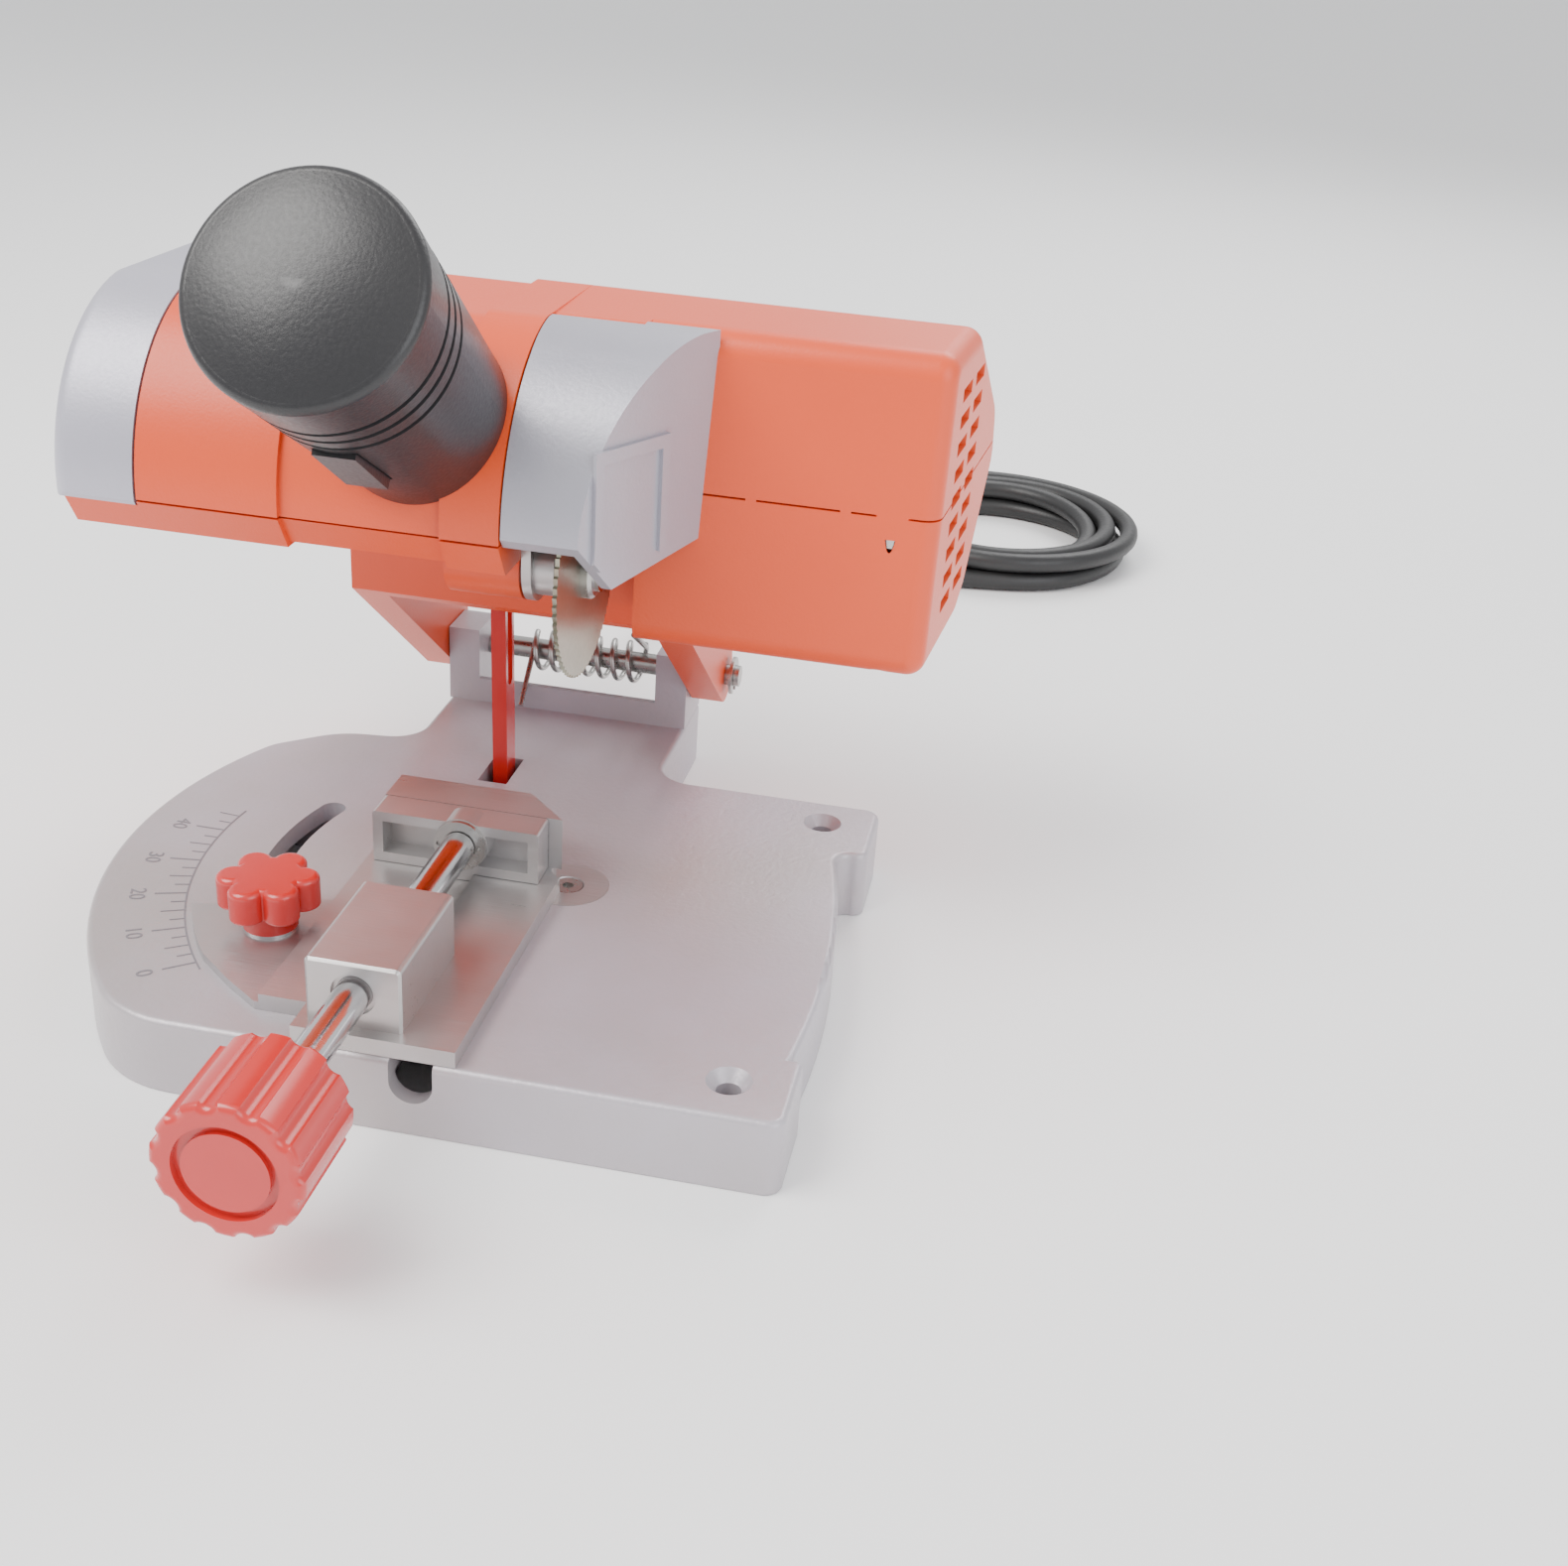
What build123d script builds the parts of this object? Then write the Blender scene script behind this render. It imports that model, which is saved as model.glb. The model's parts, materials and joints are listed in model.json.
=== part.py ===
"""Mini bench cut-off saw: a 50 mm blade in a spring-raised head over a swivelling vise.

Millimetres. X runs to the right along the hinge, Y to the back and Z up. The origin lies on
the bench, under the mitre pivot, in the plane of the blade.
"""

from math import asin, atan2, cos, degrees, hypot, pi, radians, sin, sqrt, tan
import os

from build123d import *

os.makedirs("parts", exist_ok=True)

# ---- clearances ----
running = 0.05  # radial gap of a shaft that turns in its bore
sliding = 0.15  # gap on each side of a piece that slides
joint_gap = 0.3  # gap between the faces of pieces that move past each other
thread_fit = 0.02  # radial gap that stands for a thread in its nut

# ---- base casting ----
table_height = 18.0
table_thick = 5.0
base_wall = 4.0
lobe_radius = 110.5  # left end of the table, about the mitre pivot
base_front = -80.0
base_right = 68.5
base_rear = 62.0
neck_left = -63.0
neck_right = 7.0
neck_rear = 113.0
bench_hole_x = 54.5
bench_hole_front = -67.5
bench_hole_spacing = 118.0
bench_hole_radius = 2.75
bench_hole_head = 5.0
clamp_hole_x = -10.5
clamp_hole_width = 9.6
clamp_hole_depth = 10.0

# ---- hinge of the head ----
hinge_y = 105.0
hinge_z = 32.0
hinge_pin_radius = 3.0
ear_width = 9.0
lug_width = 9.0
ear_radius = 8.0
head_swing = 27.0

# ---- mitre vise ----
bed_thick = 4.0
bed_right = -1.0
bed_left = -48.0
bed_front = -79.0
bed_rear = 16.0
wing_radius = 87.5
wing_thick = 2.0
lock_radius = 71.0
lock_angle = 215.0
mitre_swing = 45.0
pivot_disc_radius = 10.0
pivot_disc_thick = 2.4
slot_width = 6.4
lock_stud_radius = 2.5
jaw_top = 35.5
jaw_left = -46.0
jaw_thick = 8.5
fixed_jaw_thick = 12.0
screw_x = -24.0
screw_z = 30.0
screw_radius = 3.9
screw_pitch = 1.25
jaw_travel = 25.0
nut_front = -76.0
nut_length = 33.0
nut_width = 21.0
nut_top = 37.5
vise_knob_radius = 15.0
vise_knob_rear = -112.0
vise_knob_length = 24.0

# ---- blade and drive ----
blade_radius = 25.0
blade_thick = 1.0
blade_y = 10.0
blade_z = 96.0
spindle_radius = 2.0
arbor_radius = 3.0
flange_radius = 6.5
bearing_radius = 5.5
motor_y = 52.0
motor_z = 112.0
motor_radius = 22.0
motor_left = 20.0
motor_right = 70.0
shaft_radius = 2.5
shaft_bearing_radius = 6.5
motor_pulley_radius = 7.5
spindle_pulley_radius = 5.0
belt_thick = 1.2
belt_left = -27.5
belt_width = 4.0

# ---- head housings ----
shell = 2.5
head_left = -96.0
cap_left = -116.5
body_left_end = -12.6
motor_body_left = 9.0
seam_left = 108.0
seam_right = 113.0
head_top = 150.0
belly_left = neck_left - 0.3 - lug_width
belly_right = neck_right + 0.3 + lug_width
handle_x = -34.0
handle_y = -6.5
handle_z = 134.4
handle_tilt = 33.8
handle_length = 66.0
handle_radius = 23.7
handle_wall = 3.0

# ---- cord ----
cord_radius = 3.5
cord_x = -25.0
cord_z = 92.0
cord_start_y = 104.0
gland_y = 94.0
gland_radius = 5.0


# ---- planes and plain solids that the pieces share ----
def facing_right(x):
    """A plane that faces +X at x, with its own axes along +Y and +Z."""
    return Plane(origin=(x, 0, 0), x_dir=(0, 1, 0), z_dir=(1, 0, 0))


def facing_front(y):
    """A plane that faces -Y at y, with its own axes along +X and +Z."""
    return Plane(origin=(0, y, 0), x_dir=(1, 0, 0), z_dir=(0, -1, 0))


def bar_x(radius, x0, x1, y, z, mode=Mode.ADD):
    """A round bar along X from x0 to x1, about the line at (y, z)."""
    with BuildSketch(facing_right(x0)) as disc:
        with Locations((y, z)):
            Circle(radius)
    extrude(disc.sketch, amount=x1 - x0, mode=mode)


def bar_y(radius, y0, y1, x, z, mode=Mode.ADD):
    """A round bar along Y from y0 to y1, about the line at (x, z)."""
    with BuildSketch(facing_front(y1)) as disc:
        with Locations((x, z)):
            Circle(radius)
    extrude(disc.sketch, amount=y1 - y0, mode=mode)


def bar_z(radius, z0, z1, x, y, mode=Mode.ADD):
    """A round bar along Z from z0 to z1, about the line at (x, y)."""
    with BuildSketch(Plane.XY.offset(z0)) as disc:
        with Locations((x, y)):
            Circle(radius)
    extrude(disc.sketch, amount=z1 - z0, mode=mode)


def block(x0, x1, y0, y1, z0, z1, mode=Mode.ADD):
    """A box between two corners."""
    with Locations(((x0 + x1) / 2, (y0 + y1) / 2, (z0 + z1) / 2)):
        Box(x1 - x0, y1 - y0, z1 - z0, mode=mode)


def bearing_x(bore, outer, x0, x1, y, z):
    """A ball bearing on an axis along X: two rings with a recessed shield between them."""
    ring = (outer - bore) * 0.3
    bar_x(outer, x0, x1, y, z)
    bar_x(outer - ring, x0, x0 + 0.3, y, z, Mode.SUBTRACT)
    bar_x(outer - ring, x1 - 0.3, x1, y, z, Mode.SUBTRACT)
    bar_x(bore + ring, x0, x1, y, z)
    bar_x(bore, x0, x1, y, z, Mode.SUBTRACT)


def nearest_corner(points, x, y):
    """The corner of a flat outline that lies nearest to (x, y)."""
    return min(points, key=lambda point: hypot(point.X - x, point.Y - y))


def save(builder, name):
    """Labels a finished piece and writes it as a STEP file of the same name."""
    builder.part.label = name
    export_step(builder.part, f"parts/{name}.step")


def polar(radius, angle):
    """The point at a radius and an angle in degrees about the mitre pivot."""
    return (radius * cos(radians(angle)), radius * sin(radians(angle)))


# ---- table outline ----
lobe_front = (-sqrt(lobe_radius**2 - base_front**2), base_front)
lobe_mid = polar(lobe_radius, 190)
lobe_end = polar(lobe_radius, 153)
shoulder = (neck_left - 21, base_rear + 1)
neck_root = (neck_left, base_rear + 4)
tab_in = base_right - 8.5
tab_front = base_front + 24
tab_rear = base_rear - 26
with BuildSketch(Plane.XY) as table_outline:
    with BuildLine():
        Line((base_right, base_front), lobe_front)
        ThreePointArc(lobe_front, lobe_mid, lobe_end)
        Polyline(lobe_end, shoulder, neck_root, (neck_left, neck_rear), (neck_right, neck_rear))
        Polyline((neck_right, neck_rear), (neck_right, base_rear), (base_right, base_rear))
        Polyline((base_right, base_rear), (base_right, tab_rear), (tab_in, tab_rear))
        ThreePointArc(
            (tab_in, tab_rear), (base_right - 1.2, (tab_rear + tab_front) / 2), (base_right - 2.5, tab_front)
        )
        Polyline((base_right - 2.5, tab_front), (base_right, tab_front), (base_right, base_front))
    make_face()
    rounded_corners = [
        (lobe_front, 26.0),
        (lobe_end, 14.0),
        (shoulder, 22.0),
        (neck_root, 9.0),
        ((neck_right, base_rear), 9.0),
        ((base_right, base_rear), 4.0),
        ((base_right, tab_rear), 3.0),
        ((tab_in, tab_rear), 4.0),
        ((base_right, tab_front), 2.0),
        ((base_right, base_front), 4.0),
    ]
    for corner, radius in rounded_corners:
        fillet(nearest_corner(table_outline.vertices(), *corner), radius=radius)

ear_left = (neck_left, neck_left + ear_width)
ear_right = (neck_right - ear_width, neck_right)
cross_wall_front = hinge_y - 11
cross_wall_back = hinge_y - 9
link_x = (-36.5, -32.5)
link_foot_y = 57.0
link_foot_z = 4.5
link_slot = (-38.5, -30.5, 46.0, 61.5)
link_pin_radius = 1.5
bench_holes = [(bench_hole_x, bench_hole_front), (bench_hole_x, bench_hole_front + bench_hole_spacing)]
lock_spot = polar(lock_radius, lock_angle)
pivot_screw_radius = 2.0
pivot_boss_radius = pivot_disc_radius + 3
pivot_seat = table_height - pivot_disc_thick - 0.1

with BuildPart() as base_casting:
    extrude(table_outline.sketch, amount=table_height)
    fillet(base_casting.faces().sort_by(Axis.Z)[-1].outer_wire().edges(), radius=1.5)
    with BuildSketch(Plane.XY) as underside:
        add(table_outline.sketch)
        offset(amount=-base_wall, kind=Kind.ARC, mode=Mode.REPLACE)
        with Locations(*bench_holes):
            Circle(bench_hole_head + 4, mode=Mode.SUBTRACT)
        Circle(pivot_boss_radius, mode=Mode.SUBTRACT)
        with Locations(((link_slot[0] + link_slot[1]) / 2, (link_slot[2] + link_slot[3]) / 2)):
            Rectangle(link_slot[1] - link_slot[0] + 6, link_slot[3] - link_slot[2] + 6, mode=Mode.SUBTRACT)
        with Locations((neck_left + 35, base_rear - 32)):
            Rectangle(260, 3, mode=Mode.SUBTRACT)
        with Locations((neck_left + 40, (base_front + base_rear) / 2)):
            Rectangle(3, 260, mode=Mode.SUBTRACT)
    extrude(underside.sketch, amount=table_height - table_thick, mode=Mode.SUBTRACT)
    # the neck is cut down behind the table, between the ears and the wall in front of them
    block(neck_left, neck_right, cross_wall_front, neck_rear, table_height, hinge_z + ear_radius)
    block(ear_left[1], ear_right[0], cross_wall_back, neck_rear, 8, hinge_z + ear_radius, Mode.SUBTRACT)
    block(
        ear_left[1], ear_right[0], cross_wall_front, cross_wall_back, table_height + 7,
        hinge_z + ear_radius, Mode.SUBTRACT,
    )
    rear_top = base_casting.edges().filter_by(Axis.X).filter_by(
        lambda edge: edge.center().Z > hinge_z + ear_radius - 0.1 and edge.center().Y > neck_rear - 0.1
    )
    fillet(rear_top, radius=ear_radius - 1.5)
    bar_x(hinge_pin_radius + running, neck_left - 1, neck_right + 1, hinge_y, hinge_z, Mode.SUBTRACT)
    # bench bolts
    with Locations(*[(x, y, table_height) for x, y in bench_holes]):
        CounterSinkHole(bench_hole_radius, bench_hole_head, depth=table_height)
    # notch for the rod of a bench clamp
    block(
        clamp_hole_x - clamp_hole_width / 2, clamp_hole_x + clamp_hole_width / 2,
        base_front - 1, base_front + 9, table_height - clamp_hole_depth + clamp_hole_width / 2,
        table_height + 1, Mode.SUBTRACT,
    )
    bar_y(
        clamp_hole_width / 2, base_front - 1, base_front + 9, clamp_hole_x,
        table_height - clamp_hole_depth + clamp_hole_width / 2, Mode.SUBTRACT,
    )
    # arc slot of the mitre lock, with room for the stud at both ends of the swing
    with BuildSketch(Plane.XY) as mitre_slot:
        SlotArc(CenterArc((0, 0), lock_radius, lock_angle - mitre_swing - 6, mitre_swing + 8), slot_width)
    extrude(mitre_slot.sketch, amount=table_height, mode=Mode.SUBTRACT)
    # seat and blind hole of the mitre pivot
    bar_z(pivot_disc_radius + running, pivot_seat, table_height + 1, 0, 0, Mode.SUBTRACT)
    bar_z(pivot_screw_radius + thread_fit, 3, table_height, 0, 0, Mode.SUBTRACT)
    # well of the safety link and the hole of its pin
    block(*link_slot, -1, table_height + 1, Mode.SUBTRACT)
    bar_x(
        link_pin_radius + thread_fit, link_slot[0] - 4, link_slot[1] + 4, link_foot_y, link_foot_z,
        Mode.SUBTRACT,
    )
save(base_casting, "base_casting")

# ---- hinge pin, clips and spring ----
pin_left = belly_left - 4
pin_right = belly_right + 4
with BuildPart() as hinge_pin:
    bar_x(hinge_pin_radius, pin_left, pin_right, hinge_y, hinge_z)
    for groove in (pin_left + 1.5, pin_right - 2.5):
        bar_x(hinge_pin_radius + 1, groove, groove + 1, hinge_y, hinge_z, Mode.SUBTRACT)
        bar_x(hinge_pin_radius - 0.6, groove, groove + 1, hinge_y, hinge_z)
save(hinge_pin, "hinge_pin")

with BuildPart() as hinge_clips:
    for groove in (pin_left + 1.5, pin_right - 2.5):
        bar_x(hinge_pin_radius + 2.4, groove + 0.05, groove + 0.95, hinge_y, hinge_z)
        bar_x(hinge_pin_radius - 0.6, groove, groove + 1, hinge_y, hinge_z, Mode.SUBTRACT)
        block(groove, groove + 1, hinge_y - 1.6, hinge_y + 1.6, hinge_z - 8, hinge_z, Mode.SUBTRACT)
save(hinge_clips, "hinge_clips")

spring_wire = 0.8
spring_coil = hinge_pin_radius + 2.4
spring_left = ear_left[1] + 14
spring_right = ear_right[0] - 6
spring_turns = 7
spring_pitch = (spring_right - spring_left) / spring_turns
spring_lift = hinge_z + spring_coil
base_leg_tip = (spring_left, cross_wall_front - 5.5, table_height + 3)
head_leg_tip = (spring_right, hinge_y - 14, spring_lift + 9)
with BuildPart() as torsion_spring:
    with BuildLine() as spring_path:
        Helix(
            spring_pitch, spring_pitch * spring_turns, spring_coil,
            center=(spring_left, hinge_y, hinge_z), direction=(1, 0, 0),
        )
    coil_start = spring_path.wire() @ 0
    with BuildSketch(Plane(origin=coil_start, z_dir=spring_path.wire() % 0)) as spring_section:
        Circle(spring_wire)
    sweep(spring_section.sketch, path=spring_path.wire(), is_frenet=True)
    for coil_end, leg_tip in ((coil_start, base_leg_tip), (spring_path.wire() @ 1, head_leg_tip)):
        leg = Vector(*leg_tip) - coil_end
        with BuildSketch(Plane(origin=coil_end, z_dir=leg)) as leg_section:
            Circle(spring_wire)
        extrude(leg_section.sketch, amount=leg.length)
        with Locations(coil_end):
            Sphere(spring_wire)
save(torsion_spring, "torsion_spring")

# ---- mitre vise: bed with its pivot disc ----
bed_low = table_height + 0.05
bed_top = table_height + bed_thick
wing_top = table_height + wing_thick
wing_front = polar(wing_radius, 219.5)
wing_rear = polar(wing_radius, 205)
wing_mid = polar(wing_radius, 212)
bed_step = (bed_left + 11, bed_front + 9)
key_half = 3.0
key_depth = 1.8
mitre_relief = 0.6
mitre_edge = bed_right - mitre_relief
jaw_screw_spots = [
    (jaw_left + 7, fixed_jaw_thick / 2 + 0.5),
    (bed_right - 19, fixed_jaw_thick / 2 + 0.5),
    (screw_x - nut_width / 2 + 3.3, nut_front + 6),
    (screw_x + nut_width / 2 - 3.3, nut_front + nut_length - 6),
]
screw_seat = bed_low + 2.0
screw_head_radius = 2.8
screw_reach = 7.0
with BuildPart() as vise_bed:
    with BuildSketch(Plane.XY.offset(bed_low)) as bed_outline:
        with BuildLine():
            Polyline(
                (bed_right, bed_front), (bed_right, -mitre_relief),
                (bed_right - mitre_relief - bed_rear, bed_rear), (bed_left, bed_rear),
                (bed_left, bed_step[1]), bed_step, (bed_step[0], bed_front), (bed_right, bed_front),
            )
        make_face()
    extrude(bed_outline.sketch, amount=bed_top - bed_low)
    with BuildSketch(Plane.XY.offset(bed_low)) as wing_outline:
        with BuildLine():
            Polyline(
                wing_rear, (bed_left + 1, bed_front + 54), (bed_left + 1, bed_step[1]),
                (bed_left - 1, bed_step[1]), (bed_left - 9.5, bed_step[1] + 6), wing_front,
            )
            ThreePointArc(wing_front, wing_mid, wing_rear)
        make_face()
    extrude(wing_outline.sketch, amount=wing_top - bed_low)
    block(
        screw_x - key_half - sliding, screw_x + key_half + sliding, nut_front + nut_length, 0,
        bed_top - key_depth - sliding, bed_top + 1, Mode.SUBTRACT,
    )
    bar_z(pivot_disc_radius, pivot_seat + 0.1, bed_low, 0, 0)
    with Locations((0, 0, bed_low)):
        CounterSinkHole(pivot_screw_radius + 0.2, 4.0, depth=table_height)
    bar_z(lock_stud_radius + 0.1, table_height, wing_top + 1, *lock_spot, Mode.SUBTRACT)
    for x, y in jaw_screw_spots:
        bar_z(1.7, bed_low - 1, bed_top + 1, x, y, Mode.SUBTRACT)
        bar_z(screw_head_radius + 0.1, bed_low - 1, screw_seat, x, y, Mode.SUBTRACT)
save(vise_bed, "vise_bed")

with BuildPart() as pivot_screw:
    bar_z(pivot_screw_radius, 4, bed_low - 1.9, 0, 0)
    with BuildSketch(Plane.XY.offset(bed_low - 2.0)):
        Circle(1.9)
    with BuildSketch(Plane.XY.offset(bed_low - 0.2)):
        Circle(3.6)
    loft()
    with BuildSketch(Plane.XY.offset(bed_low - 0.2)):
        RegularPolygon(1.5, 6)
    extrude(amount=-1.2, mode=Mode.SUBTRACT)
save(pivot_screw, "pivot_screw")

# ---- fixed jaw, nut block and their screws ----
with BuildPart() as fixed_jaw:
    with BuildSketch(Plane.XY.offset(bed_top)) as jaw_outline:
        with BuildLine():
            Polyline(
                (jaw_left, 0), (mitre_edge, 0), (mitre_edge - fixed_jaw_thick, fixed_jaw_thick),
                (jaw_left, fixed_jaw_thick), (jaw_left, 0),
            )
        make_face()
    extrude(jaw_outline.sketch, amount=jaw_top - bed_top)
    chamfer(fixed_jaw.edges().filter_by(Axis.X).group_by(Axis.Z)[-1].sort_by(Axis.Y)[-1], 1.0)
    for x, y in [spot for spot in jaw_screw_spots if spot[1] > 0]:
        bar_z(1.5 + thread_fit, bed_top - 1, bed_top + screw_reach, x, y, Mode.SUBTRACT)
save(fixed_jaw, "fixed_jaw")

with BuildPart() as nut_block:
    block(
        screw_x - nut_width / 2, screw_x + nut_width / 2, nut_front, nut_front + nut_length, bed_top, nut_top
    )
    fillet(nut_block.edges().filter_by(Axis.Y).group_by(Axis.Z)[-1], 1.2)
    chamfer(nut_block.edges().filter_by(Axis.X).group_by(Axis.Z)[-1], 0.6)
    bar_y(screw_radius + running, nut_front - 1, nut_front + nut_length + 1, screw_x, screw_z, Mode.SUBTRACT)
    for end, inward in ((nut_front, 1), (nut_front + nut_length, -1)):
        low, high = sorted((end, end + inward * 1.0))
        bar_y(screw_radius + 1.0, low, high, screw_x, screw_z, Mode.SUBTRACT)
    for x, y in [spot for spot in jaw_screw_spots if spot[1] < 0]:
        bar_z(1.5 + thread_fit, bed_top - 1, bed_top + screw_reach, x, y, Mode.SUBTRACT)
save(nut_block, "nut_block")

with BuildPart() as vise_screws:
    for x, y in jaw_screw_spots:
        bar_z(1.5, screw_seat, bed_top + screw_reach - 1, x, y)
        bar_z(screw_head_radius, screw_seat - 1.8, screw_seat, x, y)
        with BuildSketch(Plane.XY.offset(screw_seat - 1.8)) as socket:
            with Locations((x, y)):
                RegularPolygon(1.2, 6)
        extrude(socket.sketch, amount=1.2, mode=Mode.SUBTRACT)
save(vise_screws, "vise_screws")

# ---- moving jaw, retaining ring, screw and knob ----
jaw_right = bed_right - 4.0
jaw_face = -joint_gap
jaw_front = jaw_face - jaw_thick
jaw_low = bed_top + sliding
boss_radius = 6.6
collar_length = 3.0
collar_radius = screw_radius + 0.2
with BuildPart() as moving_jaw:
    block(jaw_left, jaw_right, jaw_front, jaw_face, jaw_low, jaw_top)
    block(
        jaw_left + 2.5, jaw_right - 2.5, jaw_front - 1, jaw_face - 3.0, jaw_low + 2.5, jaw_top - 2.5,
        Mode.SUBTRACT,
    )
    fillet(moving_jaw.edges().filter_by(Axis.Y).group_by(Axis.Z)[-1], 0.8)
    bar_y(boss_radius, jaw_front, jaw_face - 2.0, screw_x, screw_z)
    block(screw_x - 1.2, screw_x + 1.2, jaw_front + 0.5, jaw_face - 2.5, jaw_low + 1, screw_z)
    bar_y(
        collar_radius + running, jaw_front - 1, jaw_front + collar_length + 0.5, screw_x, screw_z,
        Mode.SUBTRACT,
    )
    block(
        screw_x - key_half, screw_x + key_half, jaw_front, jaw_face, bed_top - key_depth, jaw_low + 1
    )
    for z in (jaw_low + 4.5, jaw_low + 8.5):
        block(jaw_left - 1, jaw_right + 1, jaw_face - 0.4, jaw_face + 1, z, z + 0.5, Mode.SUBTRACT)
save(moving_jaw, "moving_jaw")

neck_radius = screw_radius - 1.3
ring_thick = 1.2
with BuildPart() as jaw_ring:
    bar_y(boss_radius - 0.2, jaw_front - ring_thick, jaw_front, screw_x, screw_z)
    bar_y(neck_radius + 0.15, jaw_front - ring_thick - 1, jaw_front + 1, screw_x, screw_z, Mode.SUBTRACT)
    for x in (screw_x - 5.1, screw_x + 5.1):
        bar_y(0.6, jaw_front - ring_thick - 0.1, jaw_front - ring_thick + 0.5, x, screw_z, Mode.SUBTRACT)
save(jaw_ring, "jaw_retaining_ring")

shank_radius = 3.2
shank_end = vise_knob_rear - 16
with BuildPart() as vise_screw:
    bar_y(screw_radius, vise_knob_rear + 9, jaw_front - ring_thick - 0.4, screw_x, screw_z)
    bar_y(neck_radius, jaw_front - ring_thick - 0.5, jaw_front + 0.4, screw_x, screw_z)
    bar_y(collar_radius, jaw_front + 0.2, jaw_front + 0.2 + collar_length, screw_x, screw_z)
    bar_y(shank_radius, shank_end, vise_knob_rear + 10, screw_x, screw_z)
    chamfer(vise_screw.edges().filter_by(GeomType.CIRCLE).sort_by(Axis.Y)[0], 0.5)
save(vise_screw, "vise_screw")

flute_count = 12
knob_front = vise_knob_rear - vise_knob_length
with BuildPart() as vise_knob:
    with BuildSketch(facing_front(vise_knob_rear)) as knob_section:
        with Locations((screw_x, screw_z)):
            Circle(vise_knob_radius)
            with PolarLocations(vise_knob_radius + 1.6, flute_count, start_angle=10):
                Circle(2.6, mode=Mode.SUBTRACT)
    extrude(knob_section.sketch, amount=vise_knob_length)
    fillet(vise_knob.edges().group_by(Axis.Y)[0], 1.6)
    fillet(vise_knob.edges().group_by(Axis.Y)[-1], 1.0)
    bar_y(vise_knob_radius - 4.6, knob_front - 1, knob_front + 1.4, screw_x, screw_z, Mode.SUBTRACT)
    bar_y(vise_knob_radius - 6.4, knob_front + 0.3, knob_front + 2, screw_x, screw_z)
    bar_y(shank_radius + thread_fit, shank_end - 0.2, vise_knob_rear + 1, screw_x, screw_z, Mode.SUBTRACT)
save(vise_knob, "vise_knob")

# ---- mitre lock ----
lock_knob_radius = 11.5
lock_knob_low = wing_top + 0.8
with BuildPart() as lock_washer:
    bar_z(6.0, wing_top, wing_top + 0.75, *lock_spot)
    bar_z(lock_stud_radius + 0.2, wing_top, wing_top + 1, *lock_spot, Mode.SUBTRACT)
save(lock_washer, "lock_washer")

with BuildPart() as lock_stud:
    bar_z(lock_stud_radius, table_height - table_thick - 1.5, lock_knob_low + 9, *lock_spot)
    bar_z(5.5, table_height - table_thick - 3.6, table_height - table_thick - 0.1, *lock_spot)
save(lock_stud, "lock_stud")

with BuildPart() as lock_knob:
    with BuildSketch(Plane.XY.offset(lock_knob_low + 5)) as lobes:
        with Locations(lock_spot):
            Circle(lock_knob_radius - 3.2)
            with PolarLocations(lock_knob_radius - 4.0, 6, start_angle=15):
                Circle(4.0)
    extrude(lobes.sketch, amount=8)
    fillet(lock_knob.edges().group_by(Axis.Z)[-1], 1.4)
    fillet(lock_knob.edges().group_by(Axis.Z)[0], 0.8)
    bar_z(6.2, lock_knob_low, lock_knob_low + 6, *lock_spot)
    bar_z(lock_stud_radius + running, lock_knob_low - 1, lock_knob_low + 9.5, *lock_spot, Mode.SUBTRACT)
save(lock_knob, "lock_knob")

# ---- safety link ----
# the stop pin on the head runs in the slot of the link while the head swings
pin_rest = (54.5, 70.0)
stop_pin_radius = 1.25
link_half = 3.5
link_length = 70.0
slot_half = stop_pin_radius + 0.6
pin_reach = hypot(pin_rest[0] - link_foot_y, pin_rest[1] - link_foot_z)
swing_y = pin_rest[0] - hinge_y
swing_z = pin_rest[1] - hinge_z
swing = radians(head_swing)
pin_low = (
    hinge_y + swing_y * cos(swing) - swing_z * sin(swing),
    hinge_z + swing_y * sin(swing) + swing_z * cos(swing),
)
low_reach = hypot(pin_low[0] - link_foot_y, pin_low[1] - link_foot_z)
link_lean = degrees(atan2(link_foot_y - pin_rest[0], pin_rest[1] - link_foot_z)) - 0.33
link_plane = Plane(
    origin=(link_x[0], link_foot_y, link_foot_z),
    x_dir=(0, cos(radians(link_lean)), sin(radians(link_lean))),
    z_dir=(1, 0, 0),
)
with BuildPart() as safety_link:
    with BuildSketch(link_plane) as link_outline:
        Circle(4.0)
        with Locations((0, link_length / 2)):
            Rectangle(2 * link_half, link_length)
        with Locations((0, link_length)):
            Circle(link_half)
        Circle(link_pin_radius + running, mode=Mode.SUBTRACT)
        with Locations((0, (low_reach + pin_reach) / 2)):
            SlotCenterToCenter(pin_reach - low_reach + 1.5, 2 * slot_half, rotation=90, mode=Mode.SUBTRACT)
    extrude(link_outline.sketch, amount=link_x[1] - link_x[0])
save(safety_link, "safety_link")

with BuildPart() as link_pin:
    bar_x(link_pin_radius, link_slot[0] - 3.5, link_slot[1] + 3.5, link_foot_y, link_foot_z)
save(link_pin, "link_pin")

clevis_gap = (link_x[0] - 2.0, link_x[1] + 2.0)
clevis_wall = 2.5
with BuildPart() as link_stop_pin:
    bar_x(stop_pin_radius, clevis_gap[0] - clevis_wall, clevis_gap[1] + clevis_wall, *pin_rest)
save(link_stop_pin, "link_stop_pin")

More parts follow.
